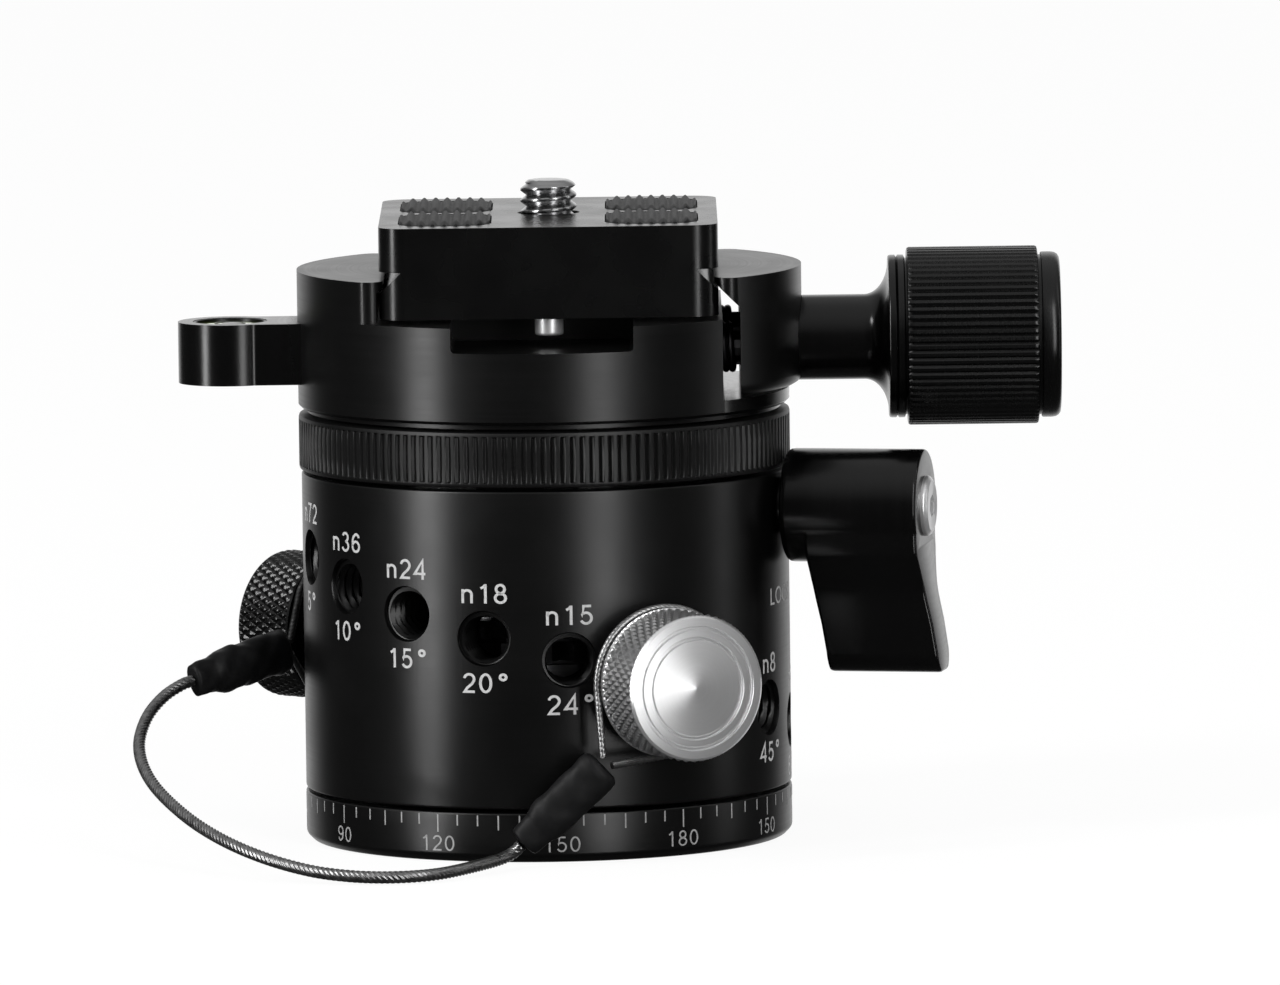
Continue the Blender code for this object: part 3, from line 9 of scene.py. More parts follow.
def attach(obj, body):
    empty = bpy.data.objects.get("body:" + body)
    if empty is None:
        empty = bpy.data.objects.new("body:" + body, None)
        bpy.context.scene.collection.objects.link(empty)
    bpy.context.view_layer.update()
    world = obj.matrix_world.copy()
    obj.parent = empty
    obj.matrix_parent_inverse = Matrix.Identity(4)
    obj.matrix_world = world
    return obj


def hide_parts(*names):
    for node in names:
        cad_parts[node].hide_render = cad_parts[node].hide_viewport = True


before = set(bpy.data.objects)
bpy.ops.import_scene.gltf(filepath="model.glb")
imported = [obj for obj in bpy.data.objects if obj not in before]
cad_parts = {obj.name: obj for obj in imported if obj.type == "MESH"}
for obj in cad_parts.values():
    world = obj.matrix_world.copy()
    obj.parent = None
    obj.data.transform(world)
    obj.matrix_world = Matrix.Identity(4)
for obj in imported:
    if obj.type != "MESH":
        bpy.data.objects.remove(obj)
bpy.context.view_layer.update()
mm = 0.001
print("frame loaded:", len(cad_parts), "nodes")

# heights and radii in mm, angles in degrees from the front, as the solids have them
head = {"radius": 27.5, "bottom": 6.0, "top": 41.7, "bore": 20.0, "ledgeBore": 14.8, "ledgeTop": 8.0,
        "capSeat": 40.9, "capBore": 24.7}
holes = {"count": 10, "firstAngle": -74.6, "angleStep": 20.0, "firstHeight": 32.6, "heightStep": 2.46,
         "radius": 3.0, "mouth": 3.12, "pitch": 1.0, "crest": 2.5, "root": 2.95, "chosen": 5}
lever = {"angle": 78.0, "height": 37.7, "start": 28.1, "length": 15.7, "radius": 6.4, "paddleDepth": 12.8,
         "paddleLength": 18.7, "paddleEdge": 0.4, "tip": 3.5, "tipRound": 2.4, "headRadius": 3.4,
         "headSeat": 1.6, "headHeight": 2.4,
         "slope": ((0.0, 0.0), (0.0, 4.2), (0.33, 7.5), (0.68, 9.9), (1.18, 12.3), (1.68, 14.7), (1.92, 17.0),
                   (2.05, 18.7)),
         "side": ((0.92, 0.0), (0.92, 0.245), (0.84, 0.315), (0.725, 0.40), (0.61, 0.51), (0.57, 0.70))}
drag = {"angle": -129.0, "height": 21.8, "radius": 8.4}
sideKnob = {"radius": 8.3, "start": 27.9, "grip": 31.4, "end": 39.1, "neck": 4.0,
            "knurls": 52, "knurlRows": 7, "knurlDepth": 0.24}
clamp = {"radius": 27.75, "bottom": 49.1, "top": 64.6, "neckRadius": 26.8, "floor": 59.9, "face": 20.2,
         "shift": 0.8, "bodyWall": 19.3, "jawWall": 21.4, "lipTip": 18.524, "slopeSum": 82.624, "lipHeight": 0.5,
         "lipCorner": 1.6, "recessHalf": 10.2, "recessCorner": 0.5, "recessDepth": 2.8, "recessStart": 9.8,
         "jawShift": 1.5, "jawBottom": 51.1, "screwHeight": 56.1, "pinY": 10.4}


def holeAngle(index):
    return holes["firstAngle"] + holes["angleStep"] * index


def holeHeight(index):
    return holes["firstHeight"] - holes["heightStep"] * index


# shapes
def upright(x=0.0, y=0.0, z=0.0):
    return Matrix.Translation((x, y, z))


# X along the tangent, Y up, Z outwards from the panning axis at this angle from the front
def radialPlace(angle, height):
    turn = math.radians(angle)
    c, s = math.cos(turn), math.sin(turn)
    place = Matrix(((c, s, 0.0), (0.0, 0.0, 1.0), (s, -c, 0.0))).transposed().to_4x4()
    place.translation = (0.0, 0.0, height)
    return place


# z along +X at the clamp screw's height, X to the rear, Y up
def sidePlace(y=0.0):
    place = Matrix(((0.0, 0.0, 1.0), (1.0, 0.0, 0.0), (0.0, 1.0, 0.0))).to_4x4()
    place.translation = (0.0, y, clamp["screwHeight"])
    return place


# points in mm, turned and moved by a place, in metres
def putPoints(points, place):
    matrix = np.array(place or Matrix.Identity(4))
    return (points.reshape(-1, 3) @ matrix[:3, :3].T + matrix[:3, 3]) * mm


# triangle wave: 1 at each whole number, 0 halfway between
def triangleWave(x):
    return np.abs((x % 1.0) * 2 - 1)


# corner numbers of the quads between neighbouring grid points
def gridFaces(rows, columns, closeRows, closeColumns):
    a = np.arange(rows - (not closeRows))[:, None]
    b = np.arange(columns - (not closeColumns))[None, :]
    row, nextRow = a * columns, (a + 1) % rows * columns
    nextB = (b + 1) % columns
    return np.stack([row + b, row + nextB, nextRow + nextB, nextRow + b], -1).reshape(-1, 4)


# mesh object with joined doubles, outward faces and sharp corners kept
def makeObject(name, points, faces, sharp=35.0):
    mesh = bpy.data.meshes.new(name)
    mesh.from_pydata(points.tolist(), [], [list(face) for face in faces])
    work = bmesh.new()
    work.from_mesh(mesh)
    bmesh.ops.remove_doubles(work, verts=work.verts, dist=2e-6)
    bmesh.ops.recalc_face_normals(work, faces=work.faces)
    work.to_mesh(mesh)
    work.free()
    mesh.shade_smooth()
    mesh.set_sharp_from_angle(angle=math.radians(sharp))
    piece = bpy.data.objects.new(name, mesh)
    bpy.context.scene.collection.objects.link(piece)
    return piece


# surface through a grid of points, rows x columns x 3; capEnds closes the first and last rows
def surface(name, grid, closeRows=False, closeColumns=False, place=None, capEnds=False, sharp=35.0):
    rows, columns = grid.shape[:2]
    faces = gridFaces(rows, columns, closeRows, closeColumns).tolist()
    if capEnds:
        faces += [list(range(columns))[::-1], list(range((rows - 1) * columns, rows * columns))]
    return makeObject(name, putPoints(grid, place), faces, sharp)


# profile of (radius, height, rounding): p(t) = (1-t)^2 a + 2t(1-t) c + t^2 b at each rounded corner
def softCorners(profile, closed=True, steps=4):
    points, count = [], len(profile)
    for index, (x, y, *rounding) in enumerate(profile):
        corner = np.array((x, y), float)
        if not rounding or (not closed and index in (0, count - 1)):
            points.append(corner)
            continue
        before = np.array(profile[index - 1][:2], float) - corner
        after = np.array(profile[(index + 1) % count][:2], float) - corner
        a = corner + before * min(0.5, rounding[0] / np.linalg.norm(before))
        b = corner + after * min(0.5, rounding[0] / np.linalg.norm(after))
        for t in np.linspace(0, 1, steps + 1):
            points.append((1 - t) ** 2 * a + 2 * t * (1 - t) * corner + t ** 2 * b)
    return np.array(points)


# profile turned about Z: (r cos u, r sin u, h); relief(u, r, h) gives a change of radius
def lathe(name, profile, steps, place=None, closed=None, relief=None, sharp=35.0):
    if closed is None:
        closed = profile[0][0] > 0 and profile[-1][0] > 0
    outline = softCorners(profile, closed)
    u = np.arange(steps) * 2 * math.pi / steps
    radius = np.repeat(outline[:, :1], steps, 1)
    height = np.repeat(outline[:, 1:], steps, 1)
    if relief is not None:
        radius = radius + relief(u[None, :], radius, height)
    grid = np.stack([radius * np.cos(u), radius * np.sin(u), height], -1)
    return surface(name, grid, closeRows=closed, closeColumns=True, place=place, sharp=sharp)


# flat outline carried straight from low to high
def prism(name, outline, low, high, place=None):
    flat = np.array(outline, float)
    rows = [np.column_stack([flat, np.full(len(flat), z)]) for z in (low, high)]
    return surface(name, np.array(rows), closeColumns=True, place=place, capEnds=True)


# points on a circle's arc from start to end, in degrees
def arcPoints(centre, radius, start, end, count):
    turn = np.radians(np.linspace(start, end, count + 1))
    return np.column_stack([centre[0] + radius * np.cos(turn), centre[1] + radius * np.sin(turn)])


# rectangle outline with round corners
def roundedBox(halfX, halfY, corner, count=10):
    parts = []
    for xSide, ySide, start in ((1, 1, 0), (-1, 1, 90), (-1, -1, 180), (1, -1, 270)):
        centre = (xSide * (halfX - corner), ySide * (halfY - corner))
        parts.append(arcPoints(centre, corner, start, start + 90, count))
    return np.concatenate(parts)


# smooth curve through points: each stretch from its four nearest points, by the cubic Hermite formula
def smoothPath(points, steps):
    p = np.array(points, float)
    before = np.concatenate([p[:1], p[:-2]])
    start, end = p[:-1], p[1:]
    after = np.concatenate([p[2:], p[-1:]])
    t = (np.arange(steps) / steps)[None, :, None]
    start, end, leave, reach = (v[:, None, :] for v in (start, end, (end - before) / 2, (after - start) / 2))
    path = (start * (2 * t ** 3 - 3 * t ** 2 + 1) + leave * (t ** 3 - 2 * t ** 2 + t)
            + end * (3 * t ** 2 - 2 * t ** 3) + reach * (t ** 3 - t ** 2))
    return np.concatenate([path.reshape(-1, 3), p[-1:]])


# the same line with points at an even spacing
def evenPath(points, spacing):
    p = np.array(points, float)
    run = np.concatenate([[0], np.cumsum(np.linalg.norm(np.diff(p, axis=0), axis=1))])
    even = np.linspace(0, run[-1], max(2, round(run[-1] / spacing) + 1))
    return np.column_stack([np.interp(even, run, p[:, axis]) for axis in range(3)])


# tangent and two cross directions along a path, carried without twist
def pathFrames(path):
    tangent = np.gradient(path, axis=0)
    tangent /= np.linalg.norm(tangent, axis=1)[:, None]
    side = np.zeros_like(path)
    side[0] = np.cross(tangent[0], (0.12, 0.31, 0.94))
    for index in range(1, len(path)):  # one turn per path point
        side[index] = side[index - 1] - tangent[index] * np.dot(side[index - 1], tangent[index])
        side[index] /= np.linalg.norm(side[index])
    side[0] /= np.linalg.norm(side[0])
    return tangent, side, np.cross(tangent, side)


# rings round a path p: p + r(s, u) (side cos u + up sin u), s along the path
def ringsRound(path, r, u):
    _, side, up = pathFrames(path)
    across = np.cos(u)[None, :, None] * side[:, None, :] + np.sin(u)[None, :, None] * up[:, None, :]
    return path[:, None, :] + r[..., None] * across


# twisted strands: r = R (1 - depth + depth |cos(n/2 (u - 2 pi s / lay))|) round a path, s its run
def strandTube(name, path, radius, strands=7, lay=4.2, depth=0.19, spacing=0.16, around=42):
    line = evenPath(path, spacing)
    run = np.arange(len(line)) * spacing
    u = np.arange(around) * 2 * math.pi / around
    swirl = np.abs(np.cos(strands / 2 * (u[None, :] - 2 * math.pi * run[:, None] / lay)))
    grid = ringsRound(line, radius * (1 - depth + depth * swirl), u)
    return surface(name, grid, closeColumns=True, capEnds=True, sharp=75.0)


# wire of radius w round the helix (R cos a, R sin a, z), z rising evenly with a
def coilSpring(name, radius, wire, turns, low, high, place):
    a = np.linspace(0, turns * 2 * math.pi, turns * 28 + 1)
    share = a / a[-1]
    z = low + wire + (high - low - 2 * wire) * share
    path = np.column_stack([radius * np.cos(a), radius * np.sin(a), z])
    u = np.arange(12) * 2 * math.pi / 12
    grid = ringsRound(path, np.full((len(path), 12), wire), u)
    return surface(name, grid, closeColumns=True, place=place, capEnds=True)


# turn a piece's modifiers into its mesh
def applyAll(piece):
    bpy.context.view_layer.update()
    graph = bpy.context.evaluated_depsgraph_get()
    mesh = bpy.data.meshes.new_from_object(piece.evaluated_get(graph))
    piece.modifiers.clear()
    piece.data = mesh


# cut solids away or join them on, then drop the tools
def carve(piece, cutters, operation="DIFFERENCE"):
    for tool in cutters:
        step = piece.modifiers.new("carve", "BOOLEAN")
        step.operation, step.object, step.solver = operation, tool, "EXACT"
    applyAll(piece)
    for tool in cutters:
        bpy.data.objects.remove(tool)
    return piece


# small rounding on every edge sharper than the angle
def softEdges(piece, width, angle=38.0, segments=2):
    bevel = piece.modifiers.new("edges", "BEVEL")
    bevel.limit_method, bevel.angle_limit = "ANGLE", math.radians(angle)
    bevel.width, bevel.segments = width * mm, segments
    bevel.use_clamp_overlap = True
    weighted = piece.modifiers.new("weighted", "WEIGHTED_NORMAL")
    weighted.keep_sharp = True
    piece.data.shade_smooth()
    applyAll(piece)
    return piece


# plain round and square tools for carve
def cutRod(radius, low, high, place=None, steps=64):
    return lathe("tool", [(0, low), (radius, low), (radius, high), (0, high)], steps, place)


def cutBox(low, high):
    outline = [(low[0], low[1]), (high[0], low[1]), (high[0], high[1]), (low[0], high[1])]
    return prism("tool", outline, low[2], high[2])


# finishes
# small helper that adds and joins the nodes of a material or of the world
class Nodes:

    def __init__(self, owner, main="Principled BSDF"):
        owner.use_nodes = True
        self.owner, self.tree = owner, owner.node_tree
        self.main = self.tree.nodes[main]

    def add(self, kind, **settings):
        node = self.tree.nodes.new(kind)
        for key, value in settings.items():
            setattr(node, key, value)
        return node

    def join(self, output, target):
        self.tree.links.new(output, target)

    def feed(self, sockets, values):  # each value is a number or another node's output
        for socket, value in zip(sockets, values):
            if isinstance(value, (int, float)):
                socket.default_value = value
            else:
                self.join(value, socket)

    def put(self, label, value):  # plain value on the shader's own socket
        self.main.inputs[label].default_value = value

    def math(self, operation, a, b=0.0):
        node = self.add("ShaderNodeMath", operation=operation)
        self.feed(node.inputs, (a, b))
        return node.outputs[0]

    def vector(self, operation, a, b=None, output="Vector"):
        node = self.add("ShaderNodeVectorMath", operation=operation)
        self.join(a, node.inputs[0])
        if b is not None:
            node.inputs[1].default_value = b
        return node.outputs[output]

    def ramp(self, value, start, end, low, high, kind="LINEAR"):
        node = self.add("ShaderNodeMapRange", interpolation_type=kind)
        for label, number in (("From Min", start), ("From Max", end), ("To Min", low), ("To Max", high)):
            node.inputs[label].default_value = number
        self.join(value, node.inputs["Value"])
        return node.outputs[0]

    def spread(self, value, low, high):  # noise around 0.5 to a range
        return self.ramp(value, 0.3, 0.7, low, high)

    def along(self, direction):  # run along a direction, mm
        return self.math("MULTIPLY", self.vector("DOT_PRODUCT", self.place(), direction, "Value"), 1000.0)

    def colour(self, value, a, b):  # base colour from a to b as the noise goes
        node = self.add("ShaderNodeMix", data_type="RGBA")
        node.inputs[6].default_value = (*a, 1.0)
        node.inputs[7].default_value = (*b, 1.0)
        self.join(self.spread(value, 0.0, 1.0), node.inputs[0])
        self.join(node.outputs[2], self.main.inputs["Base Color"])

    def rough(self, value, low, high):
        self.join(self.spread(value, low, high), self.main.inputs["Roughness"])

    def noise(self, vector, scale, detail=2.0, rough=0.5):
        node = self.add("ShaderNodeTexNoise")
        for label, number in (("Scale", scale), ("Detail", detail), ("Roughness", rough)):
            node.inputs[label].default_value = number
        self.join(vector, node.inputs["Vector"])
        return node.outputs[0]

    def bump(self, height, distance, before=None):
        node = self.add("ShaderNodeBump")
        node.inputs["Distance"].default_value = distance * mm
        node.inputs["Strength"].default_value = 1.0
        self.join(height, node.inputs["Height"])
        if before is not None:
            self.join(before, node.inputs["Normal"])
        return node.outputs[0]

    def place(self):
        return self.add("ShaderNodeTexCoord").outputs["Object"]

    def rays(self, *names):  # 1 where the ray is one of the named kinds
        path = self.add("ShaderNodeLightPath")
        total = path.outputs[names[0]]
        for name in names[1:]:
            total = self.math("MAXIMUM", total, path.outputs[name])
        return total

    # (height along the axis, distance from it, 0) in mm, so that noise on it makes turning lines
    def aroundAxis(self, point, axis):
        moved = self.vector("SUBTRACT", self.place(), [v * mm for v in point])
        height = self.vector("DOT_PRODUCT", moved, axis, "Value")
        distance = self.vector("LENGTH", self.vector("CROSS_PRODUCT", moved, axis), output="Value")
        both = self.add("ShaderNodeCombineXYZ")
        self.join(self.math("MULTIPLY", height, 1000.0), both.inputs[0])
        self.join(self.math("MULTIPLY", distance, 1000.0), both.inputs[1])
        return both.outputs[0]


# level: specular level; lines: how close the turning marks are; cut and grain: depth of marks and grain, mm;
# cone: slope of the end face; face: height of a paler end face and its metallic value
turnedDefaults = {"metal": 1.0, "level": 0.5, "lines": 4.5, "cut": 0.002, "grain": 0.0006, "cone": 0.0}
blackAnodised = {"colour": (0.0009, 0.0009, 0.00095), "light": (0.0014, 0.0014, 0.00145), "metal": 0.0,
                 "lines": 3.2}
turnedFinishes = {
    "black": {**blackAnodised, "rough": 0.33, "level": 0.4, "cut": 0.0035, "grain": 0.0012},
    "blackFine": {**blackAnodised, "rough": 0.21, "level": 0.45},
    "blackCoarse": {**blackAnodised, "rough": 0.42, "level": 0.42, "cut": 0.003, "grain": 0.001},
    "silver": {"colour": (0.94, 0.94, 0.945), "light": (0.98, 0.98, 0.985), "rough": 0.34, "lines": 6.0,
               "cut": 0.001, "grain": 0.0003, "cone": 0.12, "face": (38.7, 0.88)},
    "screwSteel": {"colour": (0.36, 0.36, 0.365), "light": (0.48, 0.48, 0.485), "rough": 0.24},
    "steel": {"colour": (0.55, 0.55, 0.56), "light": (0.66, 0.66, 0.67), "rough": 0.22, "cut": 0.003},
    # steel painted much paler than steel and partly diffuse: a painted highlight on the stop pins and lever screw
    "steelPaintedHighlight": {"colour": (0.90, 0.90, 0.905), "light": (0.97, 0.97, 0.975), "rough": 0.40, "metal": 0.85},
    "darkSteel": {"colour": (0.16, 0.16, 0.165), "light": (0.22, 0.22, 0.225), "rough": 0.34, "lines": 3.5,
                  "cut": 0.004, "grain": 0.0012},
    "brass": {"colour": (0.62, 0.45, 0.19), "light": (0.72, 0.54, 0.25), "rough": 0.30, "lines": 3.5,
              "cut": 0.004, "grain": 0.0012},
}


# metal turned on a lathe: fine lines round an axis, cloudy roughness, a faint cone on end faces;
# each zone (direction, start, end, change) makes it rougher or smoother beyond a place
def turnedFinish(name, finish, point=(0, 0, 0), axis=(0, 0, 1), zones=()):
    data = {**turnedDefaults, **turnedFinishes[finish]}
    nodes = Nodes(bpy.data.materials.new(name))
    rings = nodes.aroundAxis(point, axis)
    lines = nodes.noise(rings, data["lines"], 3.0, 0.6)
    clouds = nodes.noise(nodes.place(), 160.0, 3.0)
    grain = nodes.noise(nodes.place(), 5200.0, 2.0)
    nodes.colour(lines, data["colour"], data["light"])
    cloudy = nodes.spread(clouds, data["rough"] - 0.02, data["rough"] + 0.02)
    rough = nodes.math("ADD", cloudy, nodes.spread(lines, -0.02, 0.02))
    for direction, start, end, change in zones:
        rough = nodes.math("ADD", rough, nodes.ramp(nodes.along(direction), start, end, 0.0, change))
    nodes.join(rough, nodes.main.inputs["Roughness"])
    normal = nodes.bump(lines, data["cut"], before=nodes.bump(grain, data["grain"]))
    if data["cone"]:
        split = nodes.add("ShaderNodeSeparateXYZ")
        nodes.join(rings, split.inputs[0])
        normal = nodes.bump(nodes.math("MULTIPLY", split.outputs[1], -data["cone"]), 1.0, before=normal)
    nodes.join(normal, nodes.main.inputs["Normal"])
    nodes.put("Metallic", data["metal"])
    nodes.put("Specular IOR Level", data["level"])
    if "face" in data:  # a bead-blasted end face, paler than the rim
        height, metal = data["face"]
        change = nodes.ramp(split.outputs[0], height, height + 0.2, data["metal"], metal)
        nodes.join(change, nodes.main.inputs["Metallic"])
    return nodes.owner


# anodised faces of the plate: short straight tool marks along an axis under a fine matt grain
def milledFinish(name, axis=(0, 1, 0), rough=0.27):
    data = turnedFinishes["black"]
    nodes = Nodes(bpy.data.materials.new(name))
    stretched = nodes.vector("MULTIPLY", nodes.place(), [60.0 if v else 2600.0 for v in axis])
    marks = nodes.noise(stretched, 1.0, 3.0)
    grain = nodes.noise(nodes.place(), 6000.0, 2.0)
    nodes.colour(marks, data["colour"], data["light"])
    nodes.rough(nodes.noise(nodes.place(), 180.0, 2.0), rough - 0.03, rough + 0.03)
    nodes.join(nodes.bump(marks, 0.002, before=nodes.bump(grain, 0.0016)), nodes.main.inputs["Normal"])
    nodes.put("Specular IOR Level", data["level"])
    return nodes.owner


# matt rubber: mottled dark grey with a pebbled grain and a dull sheen
def rubberFinish(name, colour, light, rough, grainSize=2600.0):
    nodes = Nodes(bpy.data.materials.new(name))
    grain = nodes.noise(nodes.place(), grainSize, 4.0, 0.6)
    nodes.colour(nodes.noise(nodes.place(), 300.0, 2.0), colour, light)
    nodes.rough(grain, rough - 0.08, rough + 0.06)
    nodes.join(nodes.bump(grain, 0.012), nodes.main.inputs["Normal"])
    nodes.put("Specular IOR Level", 0.22)
    return nodes.owner


# one noise of this size and detail that mottles the colour and the roughness together;
# values are plain numbers for the shader's other sockets
def mottledFinish(name, size, detail, dull, light, rough, values):
    nodes = Nodes(bpy.data.materials.new(name))
    clouds = nodes.noise(nodes.place(), size, detail)
    nodes.colour(clouds, dull, light)
    nodes.rough(clouds, *rough)
    for label, value in values.items():
        nodes.put(label, value)
    return nodes.owner


# infill paint in the engraved marks, worn a little thin in places
def paintFinish(name, dull, bright):
    greys = (dull,) * 3, (bright,) * 3
    return mottledFinish(name, 2400.0, 3.0, *greys, (0.5, 0.62), {"Specular IOR Level": 0.25})


# dark steel strands, mottled lighter and darker in small clouds
def cableFinish(name, dull, bright, rough):
    greys = (dull,) * 3, (bright,) * 3
    return mottledFinish(name, 1500.0, 3.0, *greys, (rough - 0.05, rough + 0.08), {"Metallic": 1.0})


detentAngle, detentHeight = holeAngle(holes["chosen"]), holeHeight(holes["chosen"])
outward = {angle: (math.sin(math.radians(angle)), -math.cos(math.radians(angle)), 0.0)
           for angle in (detentAngle, lever["angle"], drag["angle"])}
screwLine = ((0, 0, clamp["screwHeight"]), (1, 0, 0))
bodyZones = (((-1, 0, 0), 27.6, 29.0, -0.11), ((1, 0, 0), 20.25, 20.4, -0.16))  # the vial's arm, the split face
knobZones = (((1, 0, 0), 40.8, 41.3, 0.06),)  # the ridged grip
blackUpright = turnedFinish("blackTurned", "black")
blackBody = turnedFinish("blackBodyTurned", "black", zones=bodyZones)
blackRing = turnedFinish("blackRingTurned", "blackCoarse")
blackKnob = turnedFinish("blackKnobTurned", "blackFine", *screwLine, knobZones)
blackJaw = turnedFinish("blackJawTurned", "black", (clamp["jawShift"], 0, 0))
blackDrag = turnedFinish("blackDragTurned", "blackFine", (0, 0, drag["height"]), outward[drag["angle"]])
blackLever = turnedFinish("blackLeverTurned", "blackFine", (0, 0, lever["height"]), outward[lever["angle"]])
blackPlate = milledFinish("blackPlateMilled")
silverKnobTurned = turnedFinish("silverKnobTurned", "silver", (0, 0, detentHeight), outward[detentAngle])
steelUpright = turnedFinish("steelTurned", "steel")
# the stop pins take the paler steel with its painted highlight
steelPins = turnedFinish("stopPinTurned", "steelPaintedHighlight", (clamp["shift"], 0, 0))
steelScrew = turnedFinish("cameraScrewTurned", "screwSteel", (clamp["shift"], 0, 0))
darkSide = turnedFinish("darkSideTurned", "darkSteel", *screwLine)
steelDrum = turnedFinish("drumTurned", "darkSteel")
steelSide = turnedFinish("steelSideTurned", "steel", *screwLine)
# the lever screw takes the paler steel with its painted highlight
steelLever = turnedFinish("steelLeverTurned", "steelPaintedHighlight", (0, 0, lever["height"]), outward[lever["angle"]])
brassTurned = turnedFinish("brassTurned", "brass")
padRubber = rubberFinish("padRubber", (0.014, 0.014, 0.0145), (0.020, 0.020, 0.0205), 0.58)
shrinkRubber = rubberFinish("shrinkRubber", (0.0045, 0.0045, 0.0048), (0.0070, 0.0070, 0.0074), 0.52, 1500.0)
whitePaint = paintFinish("whitePaint", 0.42, 0.55)
basePaint = paintFinish("basePaint", 0.28, 0.40)
# natural nylon: a warm off-white
nylonPlain = mottledFinish("nylonPlain", 500.0, 3.0, (0.72, 0.71, 0.66), (0.80, 0.79, 0.74), (0.5, 0.6), {})
# spirit level: green-yellow liquid seen through a polished cap
vialClear = mottledFinish("vialClear", 220.0, 2.0, (0.52, 0.72, 0.10), (0.66, 0.84, 0.20), (0.05, 0.09),
                          {"Coat Weight": 1.0, "Coat Roughness": 0.03})
cableSteel = cableFinish("cableSteel", 0.20, 0.36, 0.32)
# eye wires of one steel: the rear eye, at the back of the head, is painted much darker as painted shade
eyeSteel = {"front": cableFinish("eyeSteelFront", 0.25, 0.42, 0.32),
            "rear": cableFinish("eyeSteelRearPaintedShade", 0.05, 0.10, 0.36)}
print("finishes ready")


# give a piece its material and body, and hide the solids that it stands for
def dress(piece, body, slot, material, *replaced):
    piece.data.materials.clear()
    piece.data.materials.append(material)
    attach(piece, body)
    if replaced:
        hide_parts(*replaced)
    return piece


# camera
photoView = {"distance": 1800.0, "height": 220.0, "aimX": 10.72, "aimZ": 38.7, "lens": 449.8, "roll": 0.0130}


# camera in front at this height and distance, aimed at a point and rolled a little
def addCamera(view):
    eye = Vector((view["aimX"], -view["distance"], view["height"])) * mm
    forward = (Vector((view["aimX"], 0.0, view["aimZ"])) * mm - eye).normalized()
    side = forward.cross(Vector((0, 0, 1))).normalized()
    up = side.cross(forward)
    right = side * math.cos(view["roll"]) - up * math.sin(view["roll"])
    top = side * math.sin(view["roll"]) + up * math.cos(view["roll"])
    data = bpy.data.cameras.new("photoCamera")
    data.lens, data.sensor_width, data.clip_start, data.clip_end = view["lens"], 36.0, 0.05, 30.0
    camera = bpy.data.objects.new("photoCamera", data)
    bpy.context.scene.collection.objects.link(camera)
    matrix = Matrix((right, top, -forward)).transposed().to_4x4()
    matrix.translation = eye
    camera.matrix_world = matrix
    bpy.context.scene.camera = camera


addCamera(photoView)
print("camera set")

# lanyard
lanyard = {"radius": 0.7, "eyeWire": 0.42, "eyeProud": 0.0, "eyePlane": 30.68, "eyeLeg": 0.72, "gap": 0.3,
           "crimpRadius": 2.65, "crimpDepth": 0.62,
           "route": ((6.2, -31.6, 11.3), (-2.8, -31.5, 2.8), (-4.05, -31.5, 1.65), (-5.5, -33.4, 1.2),
                     (-8.4, -38.0, 1.0), (-11.6, -42.1, 0.85), (-14.8, -44.2, 0.8), (-18.5, -44.7, 0.8),
                     (-22.3, -44.1, 0.95), (-26.4, -42.6, 1.4), (-31.0, -40.0, 2.4), (-35.3, -36.0, 3.7),
                     (-39.0, -30.9, 5.2), (-42.0, -25.5, 6.9), (-44.2, -20.6, 8.6), (-45.5, -16.2, 10.3),
                     (-46.0, -12.2, 12.0), (-45.7, -8.7, 13.6), (-44.8, -5.9, 15.2), (-43.2, -3.4, 16.7),
                     (-41.33, -1.64, 17.71), (-40.1, -0.5, 18.0), (-29.8, 9.0, 20.4))}


# z from the sleeve's mouth to its tail, y as near to straight back as it can be
def crimpPlace(mouth, tail):
    along = (tail - mouth).normalized()
    depth = (Vector((0.0, 1.0, 0.0)) - along * along.y).normalized()
    place = Matrix((depth.cross(along), depth, along)).transposed().to_4x4()
    place.translation = mouth
    return place


# shrink sleeve over a pressed crimp: (r c, r d sign(s) |s|^0.8, h) with c = cos u and s = sin u,
# r from a profile of shares along the sleeve, and two soft waves of creases in it
def makeSleeve(name, mouth, tail, waves, crumple):
    length = (tail - mouth).length
    shares = np.array([(0.0, 0.0), (0.72, 0.0), (0.84, 0.012), (0.95, 0.035), (1.0, 0.09), (0.97, 0.2),
                       (0.985, 0.36), (0.95, 0.5), (0.985, 0.64), (0.96, 0.71), (0.88, 0.765), (0.80, 0.80),
                       (0.775, 0.87), (0.765, 0.94), (0.72, 0.985), (0.6, 1.0), (0.0, 1.0)])
    run = np.concatenate([[0], np.cumsum(np.linalg.norm(np.diff(shares * (1, 3), axis=0), axis=1))])
    fine = np.linspace(0, run[-1], 90)
    r = np.interp(fine, run, shares[:, 0]) * lanyard["crimpRadius"]
    h = np.interp(fine, run, shares[:, 1])
    u = np.arange(72) * 2 * math.pi / 72
    crease = crumple * np.sin(3 * u + waves) * np.sin(h * 21 + waves)[:, None]
    crease += 0.6 * crumple * np.sin(5 * u - 2 * waves) * np.sin(h * 34 + 1.3)[:, None]
    radius = r[:, None] * (1 - 0.05 + crease)
    c, s = np.cos(u), np.sin(u)
    flat = np.sign(s) * np.abs(s) ** 0.8 * lanyard["crimpDepth"]
    grid = np.stack([radius * c, radius * flat, np.repeat(h[:, None] * length, 72, 1)], -1)
    return surface(name, grid, closeColumns=True, place=crimpPlace(mouth, tail), sharp=60.0)


